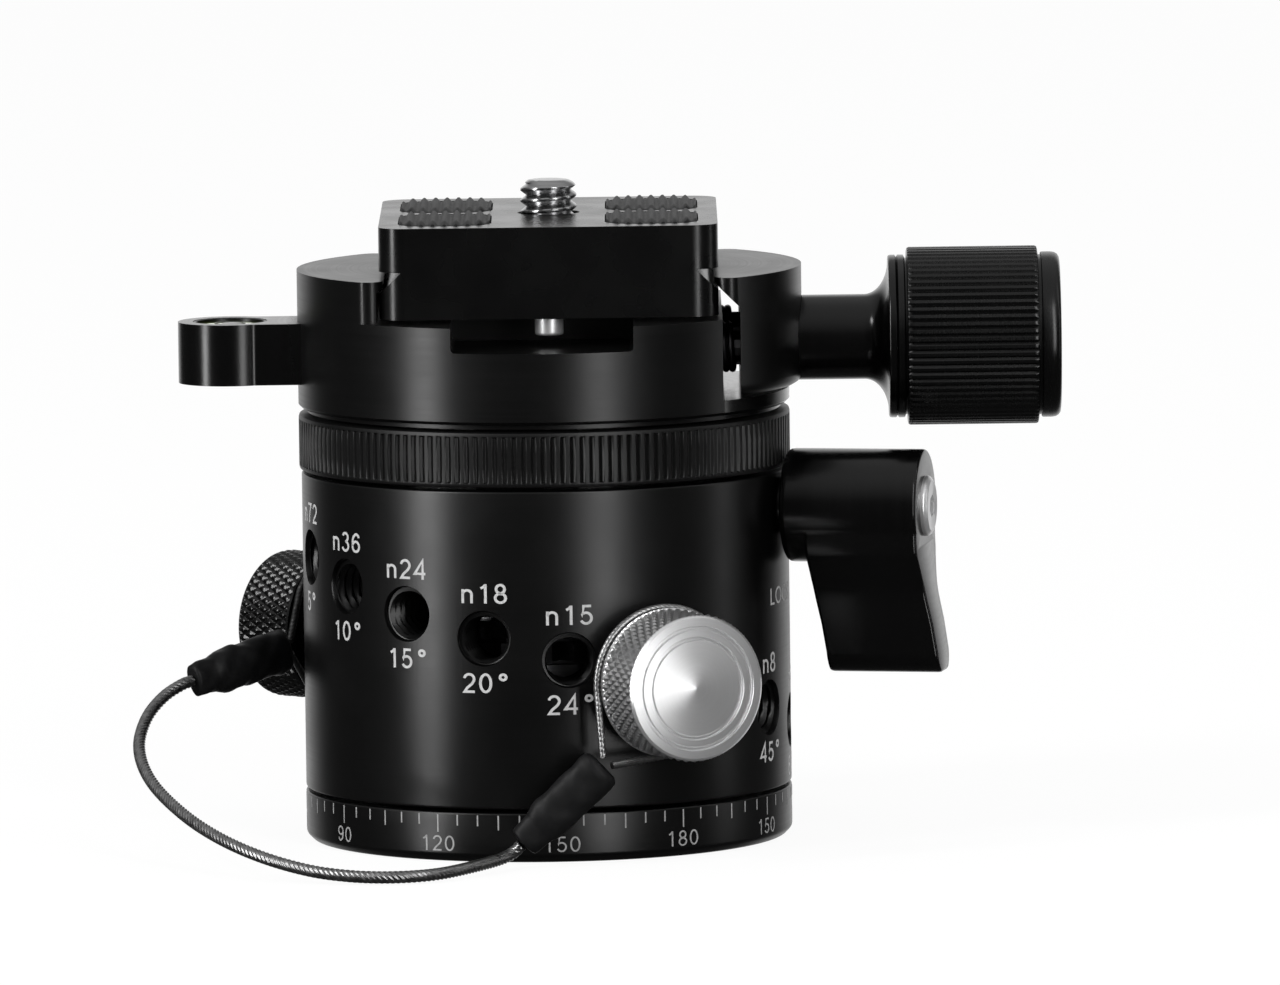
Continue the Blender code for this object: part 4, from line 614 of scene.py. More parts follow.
# wire eye: two tangent lines from the sleeve to a circle behind the knob, and the circle's far arc
def makeEye(name, mouth, tail, knob, radius):
    behind = Vector((0.0, 0.0, -lanyard["gap"] - lanyard["eyeWire"]))
    start = knob.inverted() @ crimpPlace(mouth, tail) @ behind
    distance = math.hypot(start.x, start.y)
    heading = math.degrees(math.atan2(start.y, start.x))
    turn = math.degrees(math.acos(radius / distance))
    aside = Vector((-start.y, start.x, 0.0)) * (lanyard["eyeLeg"] / distance)
    circle = arcPoints((0, 0), radius, heading + turn, heading + 360 - turn, 60)
    points = [start + aside] + [Vector((x, y, lanyard["eyePlane"])) for x, y in circle] + [start - aside]
    path = [tuple(knob @ point) for point in points]
    return strandTube(name, path, lanyard["eyeWire"], strands=6, lay=3.4, depth=0.16, spacing=0.14, around=36)


def makeLanyard():
    route = [Vector(point) for point in lanyard["route"]]
    detentPlace, dragPlace = radialPlace(detentAngle, detentHeight), radialPlace(drag["angle"], drag["height"])
    ends = (("front", route[0], route[1], detentPlace, sideKnob["radius"], 0.4, 0.022),
            ("rear", route[-1], route[-2], dragPlace, drag["radius"], 2.1, 0.05))
    for end, mouth, tail, knob, knobRadius, waves, crumple in ends:
        sleeve = makeSleeve("lanyardSleeve_" + end, mouth, tail, waves, crumple)
        dress(sleeve, "head", "shrink", shrinkRubber, "lanyard_sleeve_" + end)
        eye = makeEye("lanyardEye_" + end, mouth, tail, knob, knobRadius + lanyard["eyeProud"])
        dress(eye, "head", "cable_steel", eyeSteel[end], "lanyard_eye_" + end)
    free = route[1:-1]
    free[0] = route[1] + (route[1] - route[0]).normalized() * lanyard["gap"]
    free[-1] = route[-2] + (route[-2] - route[-1]).normalized() * lanyard["gap"]
    path = smoothPath([tuple(point) for point in free], 12)
    cable = strandTube("lanyardCable", path, lanyard["radius"])
    dress(cable, "head", "cable_steel", cableSteel, "lanyard_cable")


makeLanyard()
print("lanyard made")

# base
base = {"radius": 27.5, "height": 5.6, "edge": 0.8, "seat": 4.7, "seatRadius": 18.7, "spigot": 14.5,
        "spigotTop": 9.0, "bushing": 7.5, "bushingBore": 4.1, "bushingTop": 8.0, "flange": 8.8,
        "flangeHeight": 1.2, "threadRoot": 4.75, "threadPitch": 1.5875, "screwCircle": 12.0, "tickTop": 5.25,
        "scaleZero": 33.3, "digits": 1.75, "digitHeight": 2.1}


def makeBase():
    radius, height, edge, spigot = base["radius"], base["height"], base["edge"], base["spigot"]
    groove = [(19.6, 0.0), (19.5, 0.25), (19.1, 0.25), (19.0, 0.0)]
    socket = [(9.1, 0.0, 0.15), (9.1, 1.5), (7.8, 1.5), (7.8, base["spigotTop"])]
    outline = [(spigot, base["spigotTop"]), (spigot, base["seat"]), (base["seatRadius"], base["seat"]),
               (base["seatRadius"], height), (radius, height, 0.25), (radius, edge, 0.3),
               (radius - edge, 0.0, 0.3)]
    ring = lathe("baseRing", outline + groove + socket, 288)
    hole = [(0, -2), (2.6, -2), (2.4, 0.2), (2.4, 2.4), (1.5, 2.4), (1.5, 11), (0, 11)]
    tools = []
    for turn in (0.0, 120.0, 240.0):
        a = math.radians(turn)
        place = upright(base["screwCircle"] * math.sin(a), -base["screwCircle"] * math.cos(a))
        tools.append(lathe("tool", hole, 48, place))
    carve(ring, tools)
    dress(ring, "base", "black_aluminium", blackUpright, "base_ring")
    pitch, inner, outer = base["threadPitch"], base["bushingBore"], base["threadRoot"]

    def thread(u, r, h):  # inside thread: the bore's wall moves out by a triangle wave of h/pitch - u/2pi
        wave = triangleWave(h / pitch - u / (2 * math.pi))
        full = np.clip((h - 0.2) / 0.8, 0, 1)  # opens into a lead-in at the bottom
        return np.where(r < 5.0, (outer - inner) * wave * full + (1 - full) * 0.6, 0.0)

    bushing, top, flange, low = base["bushing"], base["bushingTop"], base["flange"], base["flangeHeight"]
    wall = [(inner, z) for z in np.arange(0.0, top + 0.01, 0.16)]
    outside = [(bushing, top), (bushing, low), (flange, low), (flange, 0.0, 0.2)]
    piece = lathe("tripodBushing", wall + outside, 120, relief=thread)
    dress(piece, "base", "brass", brassTurned, "tripod_bushing")


# part of an ellipse: (x + rx cos t, y + ry sin t)
def bow(x, y, radiusX, radiusY, start, end):
    turn = np.radians(np.linspace(start, end, max(8, round(abs(end - start) / 12))))
    return np.column_stack([x + radiusX * np.cos(turn), y + radiusY * np.sin(turn)]).tolist()


# centre lines of each sign, capitals 1 high
strokes = {
    "0": [bow(0.30, 0.5, 0.245, 0.445, 0, 360)],
    "1": [[(0.38, 0.0), (0.38, 0.985)], [(0.37, 0.95), (0.29, 0.84), (0.16, 0.765)]],
    "2": [bow(0.30, 0.70, 0.235, 0.245, 170, -25)
          + [(0.43, 0.46), (0.20, 0.25), (0.08, 0.055), (0.56, 0.055)]],
    "3": [bow(0.29, 0.735, 0.20, 0.21, 160, -90), bow(0.29, 0.285, 0.235, 0.235, 90, -165)],
    "4": [[(0.46, 0.0), (0.46, 0.97), (0.04, 0.29), (0.60, 0.29)]],
    "5": [[(0.52, 0.945), (0.17, 0.945), (0.115, 0.51)] + bow(0.29, 0.33, 0.245, 0.275, 136, -155)],
    "6": [bow(0.31, 0.31, 0.235, 0.255, 0, 360),
          bow(0.33, 0.70, 0.205, 0.245, 15, 100) + [(0.14, 0.80), (0.08, 0.60), (0.075, 0.34)]],
    "7": [[(0.06, 0.945), (0.55, 0.945), (0.38, 0.66), (0.27, 0.35), (0.235, 0.0)]],
    "8": [bow(0.30, 0.735, 0.195, 0.21, 0, 360), bow(0.30, 0.28, 0.24, 0.23, 0, 360)],
    "9": [bow(0.29, 0.69, 0.235, 0.255, 0, 360),
          bow(0.27, 0.30, 0.205, 0.245, 195, 280) + [(0.46, 0.20), (0.52, 0.40), (0.525, 0.66)]],
    "n": [[(0.08, 0.0), (0.08, 0.71)], bow(0.29, 0.455, 0.21, 0.20, 175, 0) + [(0.50, 0.0)]],
    "°": [bow(0.34, 0.81, 0.14, 0.14, 0, 360)],
    "L": [[(0.10, 1.0), (0.10, 0.055), (0.58, 0.055)]],
    "O": [bow(0.54, 0.5, 0.44, 0.45, 0, 360)],
    "C": [bow(0.52, 0.5, 0.42, 0.45, 40, 320)],
    "K": [[(0.10, 0.0), (0.10, 1.0)], [(0.72, 0.98), (0.12, 0.38)], [(0.33, 0.60), (0.76, 0.0)]],
}
wideSigns = {"O": 1.16, "C": 1.08, "K": 0.95, "L": 0.72}  # their advance, where it isn't the usual one
usualAdvance = 0.775
sunk = 0.02  # how far the marks' undersides reach into the wall


# flat ribbon of one width along a line, its corners mitred
def ribbonSides(line, half):
    core = np.array(line, float)
    closed = np.allclose(core[0], core[-1])
    if closed:
        core = core[:-1]
        before, after = np.roll(core, 1, 0), np.roll(core, -1, 0)
    else:
        before = np.concatenate([2 * core[:1] - core[1:2], core[:-1]])
        after = np.concatenate([core[1:], 2 * core[-1:] - core[-2:-1]])
    arriving, leaving = core - before, after - core
    arriving /= np.linalg.norm(arriving, axis=1)[:, None]
    leaving /= np.linalg.norm(leaving, axis=1)[:, None]
    tangent = arriving + leaving
    tangent /= np.linalg.norm(tangent, axis=1)[:, None]
    mitre = half / np.maximum(0.4, (tangent * leaving).sum(1))
    side = np.column_stack([-tangent[:, 1], tangent[:, 0]]) * mitre[:, None]
    return core + side, core - side, closed


# points on the round wall, a from the front
def wallPoints(a, r, z):
    return np.column_stack([r * np.sin(a), -r * np.cos(a), z])


# signs laid on the wall: angle = middle + x / R, height = y, radius = R + lift
def bentText(text, height, angle, middle, lift=0.03, width=1.12, half=0.064):
    lines, reach = [], 0.0
    for sign in text:
        lines += [[(x + reach, y) for x, y in line] for line in strokes[sign]]
        reach += wideSigns.get(sign, usualAdvance)
    spans = np.concatenate([np.array(line) for line in lines])[:, 0]
    centre = (spans.min() + spans.max()) / 2
    clouds, polygons, count = [], [], 0
    for line in lines:
        left, right, closed = ribbonSides(line, half)
        columns = []
        for sheet, level in ((left, 0.0), (left, lift), (right, lift), (right, 0.0)):
            a = math.radians(angle) + (sheet[:, 0] - centre) * height * width / head["radius"]
            z = middle + (sheet[:, 1] - 0.5) * height
            columns.append(wallPoints(a, head["radius"] - sunk + level, z))
        grid = np.stack(columns, 1)
        rows = len(left)
        faces = gridFaces(rows, 4, closed, True).tolist()
        if not closed:
            faces += [[3, 2, 1, 0], [4 * rows - 4, 4 * rows - 3, 4 * rows - 2, 4 * rows - 1]]
        clouds.append(grid.reshape(-1, 3))
        polygons += [[v + count for v in face] for face in faces]
        count += 4 * rows
    return np.concatenate(clouds), polygons


# short upright bar on the wall, as a thin box
def bentTick(angle, low, high, width=0.16, lift=0.05):
    a = math.radians(angle) + np.array([-width, width, width, -width]) / 2 / base["radius"]
    z = np.array([low, low, high, high])
    boxes = [wallPoints(a, base["radius"] - sunk + level, z) for level in (0.0, lift)]
    faces = [[0, 1, 2, 3], [7, 6, 5, 4], [0, 4, 5, 1], [1, 5, 6, 2], [2, 6, 7, 3], [3, 7, 4, 0]]
    return np.concatenate(boxes), faces


# all marks of one kind in one mesh
def joinMarks(name, marks):
    points, faces, count = [], [], 0
    for cloud, polygons in marks:
        points.append(cloud)
        faces += [[v + count for v in face] for face in polygons]
        count += len(cloud)
    return makeObject(name, np.concatenate(points) * mm, faces, sharp=30.0)


def makeBaseScale():
    marks = []
    for step in range(72):
        angle = base["scaleZero"] + step * 5.0
        length = 2.0 if step % 6 == 0 else 1.65 if step % 3 == 0 else 1.2
        marks.append(bentTick(angle, base["tickTop"] - length + 0.1, base["tickTop"] + 0.1))
    for step in range(12):
        value, angle = 180 - 30 * min(step, 12 - step), base["scaleZero"] + step * 30.0
        marks.append(bentText(str(value), base["digits"], angle, base["digitHeight"], half=0.05))
    dress(joinMarks("baseScale", marks), "base", "black_aluminium", basePaint)


makeBase()
makeBaseScale()
print("base made")

# head
labels = {"above": 5.05, "below": -5.0, "height": 2.2, "turn": 0.2, "besideTurn": 13.0,
          "counts": (72, 36, 24, 18, 15, 12, 10, 8, 6, 4), "lockSize": 1.9, "lockAngle": 75.0, "lockHeight": 27.8}


def makeShell():
    radius, bottom, top = head["radius"], head["bottom"], head["top"]
    outline = [(radius, top, 0.3), (radius, bottom, 0.3), (head["ledgeBore"], bottom, 0.2),
               (head["ledgeBore"], head["ledgeTop"]), (head["bore"], head["ledgeTop"]),
               (head["bore"], head["capSeat"]), (head["capBore"], head["capSeat"]), (head["capBore"], top, 0.15)]
    shell = lathe("headShell", outline, 288)
    tools = []
    mouths = [(holeAngle(i), holeHeight(i)) for i in range(holes["count"])]
    mouths += [(lever["angle"], lever["height"]), (drag["angle"], drag["height"])]
    bore = [(0, 19.0), (holes["radius"], 19.0), (holes["radius"], 27.1), (holes["mouth"], 27.4), (3.4, 28.4),
            (0, 28.4)]
    for angle, height in mouths:
        tools.append(lathe("tool", bore, 72, radialPlace(angle, height)))
    carve(shell, tools)
    shell.data.shade_smooth()
    shell.data.set_sharp_from_angle(angle=math.radians(30))
    dress(shell, "head", "black_aluminium", blackUpright, "head_shell")


# inside threads of the open index holes: r = crest + depth * wave(h/p - u/2pi)
def makeHoleThreads():
    crest, root, pitch = holes["crest"], holes["root"], holes["pitch"]

    def thread(u, r, h):
        return np.where(r < root, (root - crest) * triangleWave(h / pitch - u / (2 * math.pi)), 0.0)

    low, high, outside = 20.4, 26.8, 2.985
    profile = [(crest, z) for z in np.arange(low, high + 0.01, 0.125)] + [(outside, high), (outside, low)]
    for index in range(holes["count"]):
        if index == holes["chosen"]:
            continue
        place = radialPlace(holeAngle(index), holeHeight(index))
        tube = lathe(f"holeThread_{index + 1}", profile, 48, place, closed=True, relief=thread)
        dress(tube, "head", "black_aluminium", blackUpright)


def makeLabels():
    marks = []
    for index, count in enumerate(labels["counts"]):
        angle, height = holeAngle(index), holeHeight(index)
        turn, drop = labels["turn"], labels["below"]
        marks.append(bentText(f"n{count}", labels["height"], angle + turn, height + labels["above"]))
        if height + drop - labels["height"] / 2 < head["bottom"]:  # no room below the lowest hole
            turn, drop = labels["besideTurn"], 0.0
        marks.append(bentText(f"{360 // count}°", labels["height"], angle + turn, height + drop))
    marks.append(bentText("LOCK", labels["lockSize"], labels["lockAngle"], labels["lockHeight"]))
    dress(joinMarks("indexLabels", marks), "head", "black_aluminium", whitePaint)


makeShell()
makeHoleThreads()
makeLabels()
print("head made")

# lock ring
ring = {"radius": 27.75, "bore": 24.7, "bottom": 42.1, "top": 48.3, "ridges": 160, "depth": 0.3, "band": 0.5}


def makeLockRing():
    def ridges(u, r, h):  # flat-topped ridges: radius drops by depth * clip(2.6 wave - 1.3)
        groove = np.clip(2.6 * triangleWave(u * ring["ridges"] / (2 * math.pi)) - 1.3, 0, 1)
        inside = (h > ring["bottom"] + ring["band"]) & (h < ring["top"] - ring["band"]) & (r > 27.0)
        return np.where(inside, -ring["depth"] * groove, 0.0)

    low, high, radius, band = ring["bottom"], ring["top"], ring["radius"], ring["band"]
    rows = [(radius, z) for z in np.linspace(low + band + 0.12, high - band - 0.12, 4)]
    lower = [(ring["bore"], low), (radius - 0.35, low), (radius - 0.08, low + 0.1), (radius, low + 0.35),
             (radius, low + band - 0.02)]
    upper = [(radius, high - band + 0.02), (radius, high - 0.35), (radius - 0.08, high - 0.1),
             (radius - 0.35, high), (ring["bore"], high)]
    outline = lower + rows + upper
    piece = lathe("lockRing", outline, ring["ridges"] * 10, closed=True, relief=ridges, sharp=28.0)
    dress(piece, "lock_ring", "black_aluminium", blackRing, "lock_ring")


makeLockRing()
print("lock ring made")

# clamp
arm = {"reach": 35.35, "radius": 5.9, "half": 5.2, "fillet": 1.3, "root": 24.0, "bottom": 51.9, "top": 58.8,
       "vialRadius": 3.9, "vialDepth": 5.0}


# cutters that round the two ends of a lip in plan
def lipTools(tip, side, centre):
    corner, radius = clamp["lipCorner"], clamp["radius"]
    filletX = tip + side * corner
    filletY = math.sqrt((radius - corner) ** 2 - (filletX - centre) ** 2)
    reach = math.degrees(math.atan2(filletY, side * (filletX - centre)))
    tools = []
    for ySide in (1, -1):
        curve = arcPoints((0, 0), corner, 180, reach, 12)
        points = np.column_stack([filletX + side * curve[:, 0], ySide * (filletY + curve[:, 1])])
        last = points[-1]
        length = math.hypot(last[0] - centre, last[1])
        outer = (centre + (last[0] - centre) * (1 + 2 / length), last[1] * (1 + 2 / length))
        far, inner = ySide * (radius + 2), tip - side * 2
        outline = points.tolist() + [outer, (outer[0], far), (inner, far), (inner, points[0][1])]
        tools.append(prism("tool", outline, clamp["floor"], clamp["top"] + 2))
    return tools


# outline in X and Z carried along Y
alongY = Matrix.Rotation(math.radians(90), 4, "X")


# the dovetail channel's section, carried along Y
def channelTool(wall, side, bottom):
    reach = clamp["radius"] + 2
    wallX, tipX = clamp["shift"] + side * wall, clamp["shift"] + side * clamp["lipTip"]
    outline = [(wallX, bottom), (wallX, clamp["slopeSum"] - wall), (tipX, clamp["top"] - clamp["lipHeight"]),
               (tipX, clamp["top"] + 2), (-side * reach, clamp["top"] + 2), (-side * reach, bottom)]
    return prism("tool", outline, -reach, reach, alongY)


# round end, two small fillets and a straight root
def armOutline():
    centreY = arm["half"] + arm["fillet"]
    offset = math.sqrt((arm["radius"] + arm["fillet"]) ** 2 - centreY ** 2)
    waist = offset - arm["reach"]
    turn = math.degrees(math.atan2(centreY, offset))
    parts = [[(-arm["root"], arm["half"])], arcPoints((waist, centreY), arm["fillet"], 270, turn + 180, 6),
             arcPoints((-arm["reach"], 0.0), arm["radius"], turn, 360 - turn, 60)[1:-1],
             arcPoints((waist, -centreY), arm["fillet"], 180 - turn, 90, 6), [(-arm["root"], -arm["half"])]]
    return np.concatenate([np.array(part) for part in parts])


def makeClamp():
    radius, top, bottom = clamp["radius"], clamp["top"], clamp["bottom"]
    outside = [(radius, top), (radius, bottom + 0.35), (radius - 0.35, bottom), (clamp["neckRadius"], bottom)]
    under = [(clamp["neckRadius"], 48.6), (24.7, 48.6), (24.7, 48.9), (22.3, 48.9), (22.3, 49.9), (4.3, 49.9)]
    bore = [(4.3, 55.9), (6.5, 55.9), (6.5, top)]
    body = lathe("clampBody", outside + under + bore, 288)
    carve(body, [prism("tool", armOutline(), arm["bottom"], arm["top"])], "UNION")
    reach = radius + 2
    jawRoom = cutBox((clamp["face"], -reach, clamp["jawBottom"] - 0.3), (reach, reach, top + 2))
    tools = [channelTool(clamp["bodyWall"], -1, clamp["floor"]), jawRoom]
    half, corner, deep = clamp["recessHalf"], clamp["recessCorner"], clamp["floor"] - clamp["recessDepth"]
    recess = np.concatenate([[(half, top), (-half, top)],
                             arcPoints((corner - half, deep + corner), corner, 180, 270, 6),
                             arcPoints((half - corner, deep + corner), corner, 270, 360, 6)])
    for low, high in ((-reach, -clamp["recessStart"]), (clamp["recessStart"], reach)):
        tools.append(prism("tool", recess, -high, -low, alongY))
    tools += lipTools(clamp["shift"] - clamp["lipTip"], -1, 0.0)
    tools.append(cutRod(3.3, 8.7, 22.2, sidePlace()))
    pinHole = [(0, 10.9), (2.05, 10.9), (2.05, 14.2), (3.05, 14.2), (3.05, 22.2), (0, 22.2)]
    for y in (-clamp["pinY"], clamp["pinY"]):
        tools.append(lathe("tool", pinHole, 48, sidePlace(y)))
    vialFloor = arm["top"] - arm["vialDepth"] - 0.3
    tools.append(cutRod(arm["vialRadius"] + 0.3, vialFloor, arm["top"] + 2, upright(-arm["reach"])))
    carve(body, tools)
    softEdges(body, 0.3)
    dress(body, "clamp", "black_aluminium", blackBody, "clamp_body")


def makeJaw():
    radius, top = clamp["radius"], clamp["top"]
    outline = [(0, top), (radius, top), (radius, clamp["jawBottom"], 1.5), (0, clamp["jawBottom"])]
    jaw = lathe("movableJaw", outline, 288, upright(clamp["jawShift"]), closed=False)
    outer = clamp["jawShift"] + radius
    tools = [channelTool(clamp["jawWall"], 1, clamp["jawBottom"] - 2)]
    tools += lipTools(clamp["shift"] + clamp["lipTip"], 1, clamp["jawShift"])
    seat = [(0, 20.2), (3.3, 20.2), (3.3, outer - 2.3), (5.1, outer - 2.3), (5.1, outer + 2), (0, outer + 2)]
    tools.append(lathe("tool", seat, 64, sidePlace()))
    tools += [cutRod(2.05, 20.2, 25.7, sidePlace(y), 40) for y in (-clamp["pinY"], clamp["pinY"])]
    carve(jaw, tools)
    softEdges(jaw, 0.22)
    dress(jaw, "jaw", "black_aluminium", blackJaw, "movable_jaw")


# vial: a low clear dome over the liquid, a printed circle and a bubble, each a turned shape
def makeVial():
    top, radius = arm["top"], arm["vialRadius"]
    inner, outer, floor = radius - 0.05, radius + 0.28, top - arm["vialDepth"]
    place, bubblePlace = upright(-arm["reach"]), upright(-arm["reach"] + 0.15, 0.1)
    dome = [(0, top - 0.25), (radius * 0.6, top - 0.27), (radius - 0.1, top - 0.4, 0.2), (radius - 0.1, floor),
            (0, floor)]
    cap = lathe("levelVial", dome, 96, place, closed=False)
    dress(cap, "clamp", "vial", vialClear, "level_vial")
    printed = [(1.55, top - 0.28), (1.75, top - 0.28), (1.75, top - 0.21), (1.55, top - 0.21)]
    dress(lathe("vialCircle", printed, 72, place), "clamp", "vial", blackUpright)
    air = [(0, top - 0.19), (0.7, top - 0.21), (1.15, top - 0.26), (1.2, top - 0.33), (0, top - 0.33)]
    dress(lathe("vialBubble", air, 48, bubblePlace, closed=False), "clamp", "vial", whitePaint)
    rim = [(inner, top - 0.9), (outer, top - 0.9), (outer, top - 0.05, 0.1), (inner, top - 0.05, 0.1)]
    dress(lathe("vialRim", rim, 96, place), "clamp", "steel", blackUpright)


makeClamp()
makeJaw()
makeVial()
for end, y in (("front", -clamp["pinY"]), ("rear", clamp["pinY"])):
    spring = coilSpring("jawSpring_" + end, 2.5, 0.4, 9, 14.5, 21.9, sidePlace(y))
    dress(spring, "clamp", "steel", darkSide, "jaw_spring_" + end)
print("clamp made")

# clamp knob
knob = {"neckStart": 28.25, "flare": 36.3, "flange": 39.0, "grip": 41.1, "gripEnd": 55.9, "cap": 56.25,
        "end": 58.4, "neckRadius": 4.8, "flangeRadius": 9.2, "gripRadius": 10.05, "endRadius": 9.35,
        "ridges": 72, "depth": 0.22}


def makeClampKnob():
    neck, wide, radius = knob["neckRadius"], knob["flangeRadius"], knob["gripRadius"]
    flare, flange, grip, gripEnd = knob["flare"], knob["flange"], knob["grip"], knob["gripEnd"]
    end, endRadius = knob["end"], knob["endRadius"]

    def ridges(u, r, h):  # round-bottomed grooves along the grip: radius drops by depth * clip(2.2 wave - 1)
        wave = triangleWave(u * knob["ridges"] / (2 * math.pi))
        inside = (h > grip + 0.1) & (h < gripEnd - 0.1) & (r > 9.9)
        return np.where(inside, -knob["depth"] * np.clip(2.2 * wave - 1.0, 0, 1), 0.0)

    outline = [(0, knob["neckStart"]), (neck, knob["neckStart"], 0.15)]
    outline += [(neck + (wide - 0.5 - neck) * (1 - math.cos(a)), flare + (flange - flare) * math.sin(a))
                for a in np.linspace(0, math.pi / 2, 14)]
    outline += [(wide, flange, 0.45), (wide, flange + 0.8), (wide - 0.25, flange + 0.95), (wide, flange + 1.1),
                (wide, grip - 0.35), (wide - 0.35, grip - 0.2), (wide - 0.35, grip)]
    outline += [(radius - 0.35, grip), (radius - 0.1, grip + 0.08), (radius, grip + 0.3)]
    outline += [(radius, z) for z in np.linspace(grip + 0.6, gripEnd - 0.6, 4)]
    outline += [(radius, gripEnd - 0.3), (radius - 0.1, gripEnd - 0.08), (radius - 0.35, gripEnd),
                (radius - 1.0, gripEnd), (radius - 1.0, knob["cap"]), (endRadius, knob["cap"], 0.2),
                (endRadius, end, 1.1), (7.4, end, 0.15), (7.2, end - 0.25, 0.1), (0, end - 0.25)]
    piece = lathe("clampKnob", outline, knob["ridges"] * 10, sidePlace(), closed=False, relief=ridges, sharp=30.0)
    dress(piece, "clamp_knob", "black_aluminium", blackKnob, "clamp_knob")


makeClampKnob()
print("clamp knob made")

# camera plate
plate = {"halfWidth": 19.0, "halfLength": 20.3, "bottom": 60.35, "top": 70.65, "slab": 65.7, "shoulder": 63.2,
         "waist": 16.5, "corner": 3.0, "padX": 11.6, "padY": 9.0, "padHalf": 5.1, "padLength": 16.6,
         "padCorner": 3.6, "padTop": 71.15, "padPlay": 0.12, "ridge": 0.48, "pitch": 1.3,
         "stopY": 17.7, "stopRadius": 1.6, "stopEnd": 58.35, "stopTop": 63.3}
plateAxis = upright(clamp["shift"])


def makePlate():
    section = roundedBox(plate["halfWidth"], plate["halfLength"], plate["corner"], 16)
    body = prism("cameraPlate", section, plate["bottom"], plate["top"], plateAxis)
    reach, slab, beyond = plate["halfLength"] + 2, plate["slab"], plate["halfWidth"] + 2
    tools = []
    for side in (1, -1):
        notch = [(side * beyond, plate["shoulder"] - 2.0), (side * plate["waist"], slab), (side * beyond, slab)]
        tools.append(prism("tool", notch, -reach, reach, plateAxis @ alongY))
    screwHole = [(0, 58.3), (6.8, 58.3), (6.8, 63.15), (3.475, 63.15), (3.475, 70.45), (3.9, 72.7), (0, 72.7)]
    tools.append(lathe("tool", screwHole, 96, plateAxis))
    for y in (-plate["stopY"], plate["stopY"]):
        tools.append(cutRod(plate["stopRadius"] + 0.1, 58.3, 63.65, upright(clamp["shift"], y), 40))
    play = plate["padPlay"]
    pocket = roundedBox(plate["padHalf"] + play, plate["padLength"] / 2 + play, plate["padCorner"] + play, 12)
    for x in (-plate["padX"], plate["padX"]):
        for y in (-plate["padY"], plate["padY"]):
            tools.append(prism("tool", pocket + (clamp["shift"] + x, y), plate["top"] - 0.7, plate["top"] + 2))
    carve(body, tools)
    softEdges(body, 0.3, segments=3)
    dress(body, "plate", "black_aluminium", blackPlate, "camera_plate")


# ribbed pad: a closed section at each x, its top z(x) a rounded ridge, its ends on the round outline
def makePad(name, x, y, node):
    half, length, corner = plate["padHalf"], plate["padLength"] / 2, plate["padCorner"]
    across, v = np.linspace(-half, half, 92), np.linspace(-1, 1, 15)
    inset = np.clip(np.abs(across) - (half - corner), 0, corner)
    reach = (length - corner + np.sqrt(np.maximum(corner ** 2 - inset ** 2, 0)))[:, None]
    ridges = np.clip(1.5 * (1 - triangleWave(across / plate["pitch"])) - 0.25, 0, 1)
    edge = np.clip((half - np.abs(across)) / 0.25, 0, 1)
    top = plate["padTop"] - plate["ridge"] * ridges - 0.25 * (1 - np.sqrt(edge))
    fall = 0.3 * (1 - np.sqrt(np.clip(1 - np.clip((np.abs(v) - 0.93) / 0.07, 0, 1) ** 2, 0, 1)))
    columns = np.repeat(across[:, None], len(v), 1)
    upper = np.stack([columns, reach * v, top[:, None] - fall], -1)
    lower = np.stack([columns, reach * v[::-1], np.full(columns.shape, plate["top"] - 0.45)], -1)
    grid, place = np.concatenate([upper, lower], 1), upright(clamp["shift"] + x, y)
    piece = surface(name, grid, closeColumns=True, place=place, capEnds=True, sharp=50.0)
    dress(piece, "plate", "pad_rubber", padRubber, node)


# helical thread: r = root + depth * clip(1.25 (1 - wave(h/p - u/2pi))), fading out at both ends
def makeCameraScrew():
    crest, root, pitch, top, threadEnd, headRadius, headEnd = 3.175, 2.5, 1.27, 74.4, 69.0, 6.5, 60.65

    def thread(u, r, h):
        wave = 1 - triangleWave(h / pitch + 0.3 - u / (2 * math.pi))
        fade = np.clip((top - h) / 0.7, 0, 1) * np.clip((h - threadEnd) / 0.4, 0, 1)
        thick = np.clip(1.25 * wave, 0, 1) * fade
        return np.where((r > root - 0.05) & (h > threadEnd - 0.1), (crest - root) * thick, 0.0)

    outline = [(0, top), (1.9, top), (2.3, top - 0.06), (root, top - 0.3)]
    outline += [(root, z) for z in np.arange(top - 0.4, threadEnd, -0.09)]
    outline += [(root, threadEnd - 0.1), (root, 62.9), (headRadius, 62.85, 0.2), (headRadius, headEnd, 0.3),
                (0, headEnd)]
    screw = lathe("cameraScrew", outline, 96, plateAxis, closed=False, relief=thread, sharp=40.0)
    carve(screw, [cutBox((clamp["shift"] - 9.0, -0.8, 58.6), (clamp["shift"] + 9.0, 0.8, headEnd + 1.2))])
    screw.data.shade_smooth()
    screw.data.set_sharp_from_angle(angle=math.radians(40))
    dress(screw, "camera_screw", "steel", steelScrew, "camera_screw")


makePlate()
for xName, x in (("left", -plate["padX"]), ("right", plate["padX"])):
    for yName, y in (("front", -plate["padY"]), ("rear", plate["padY"])):
        makePad(f"pad_{yName}_{xName}_ribbed", x, y, f"pad_{yName}_{xName}")
pinOutline = [(0, plate["stopTop"]), (plate["stopRadius"], plate["stopTop"]),
              (plate["stopRadius"], plate["stopEnd"], 0.35), (0, plate["stopEnd"])]
for end, y in (("front", -plate["stopY"]), ("rear", plate["stopY"])):
    pin = lathe("stopPin_" + end, pinOutline, 64, upright(clamp["shift"], y), closed=False)
    dress(pin, "plate", "steel", steelPins, "stop_pin_" + end)
makeCameraScrew()
print("camera plate made")

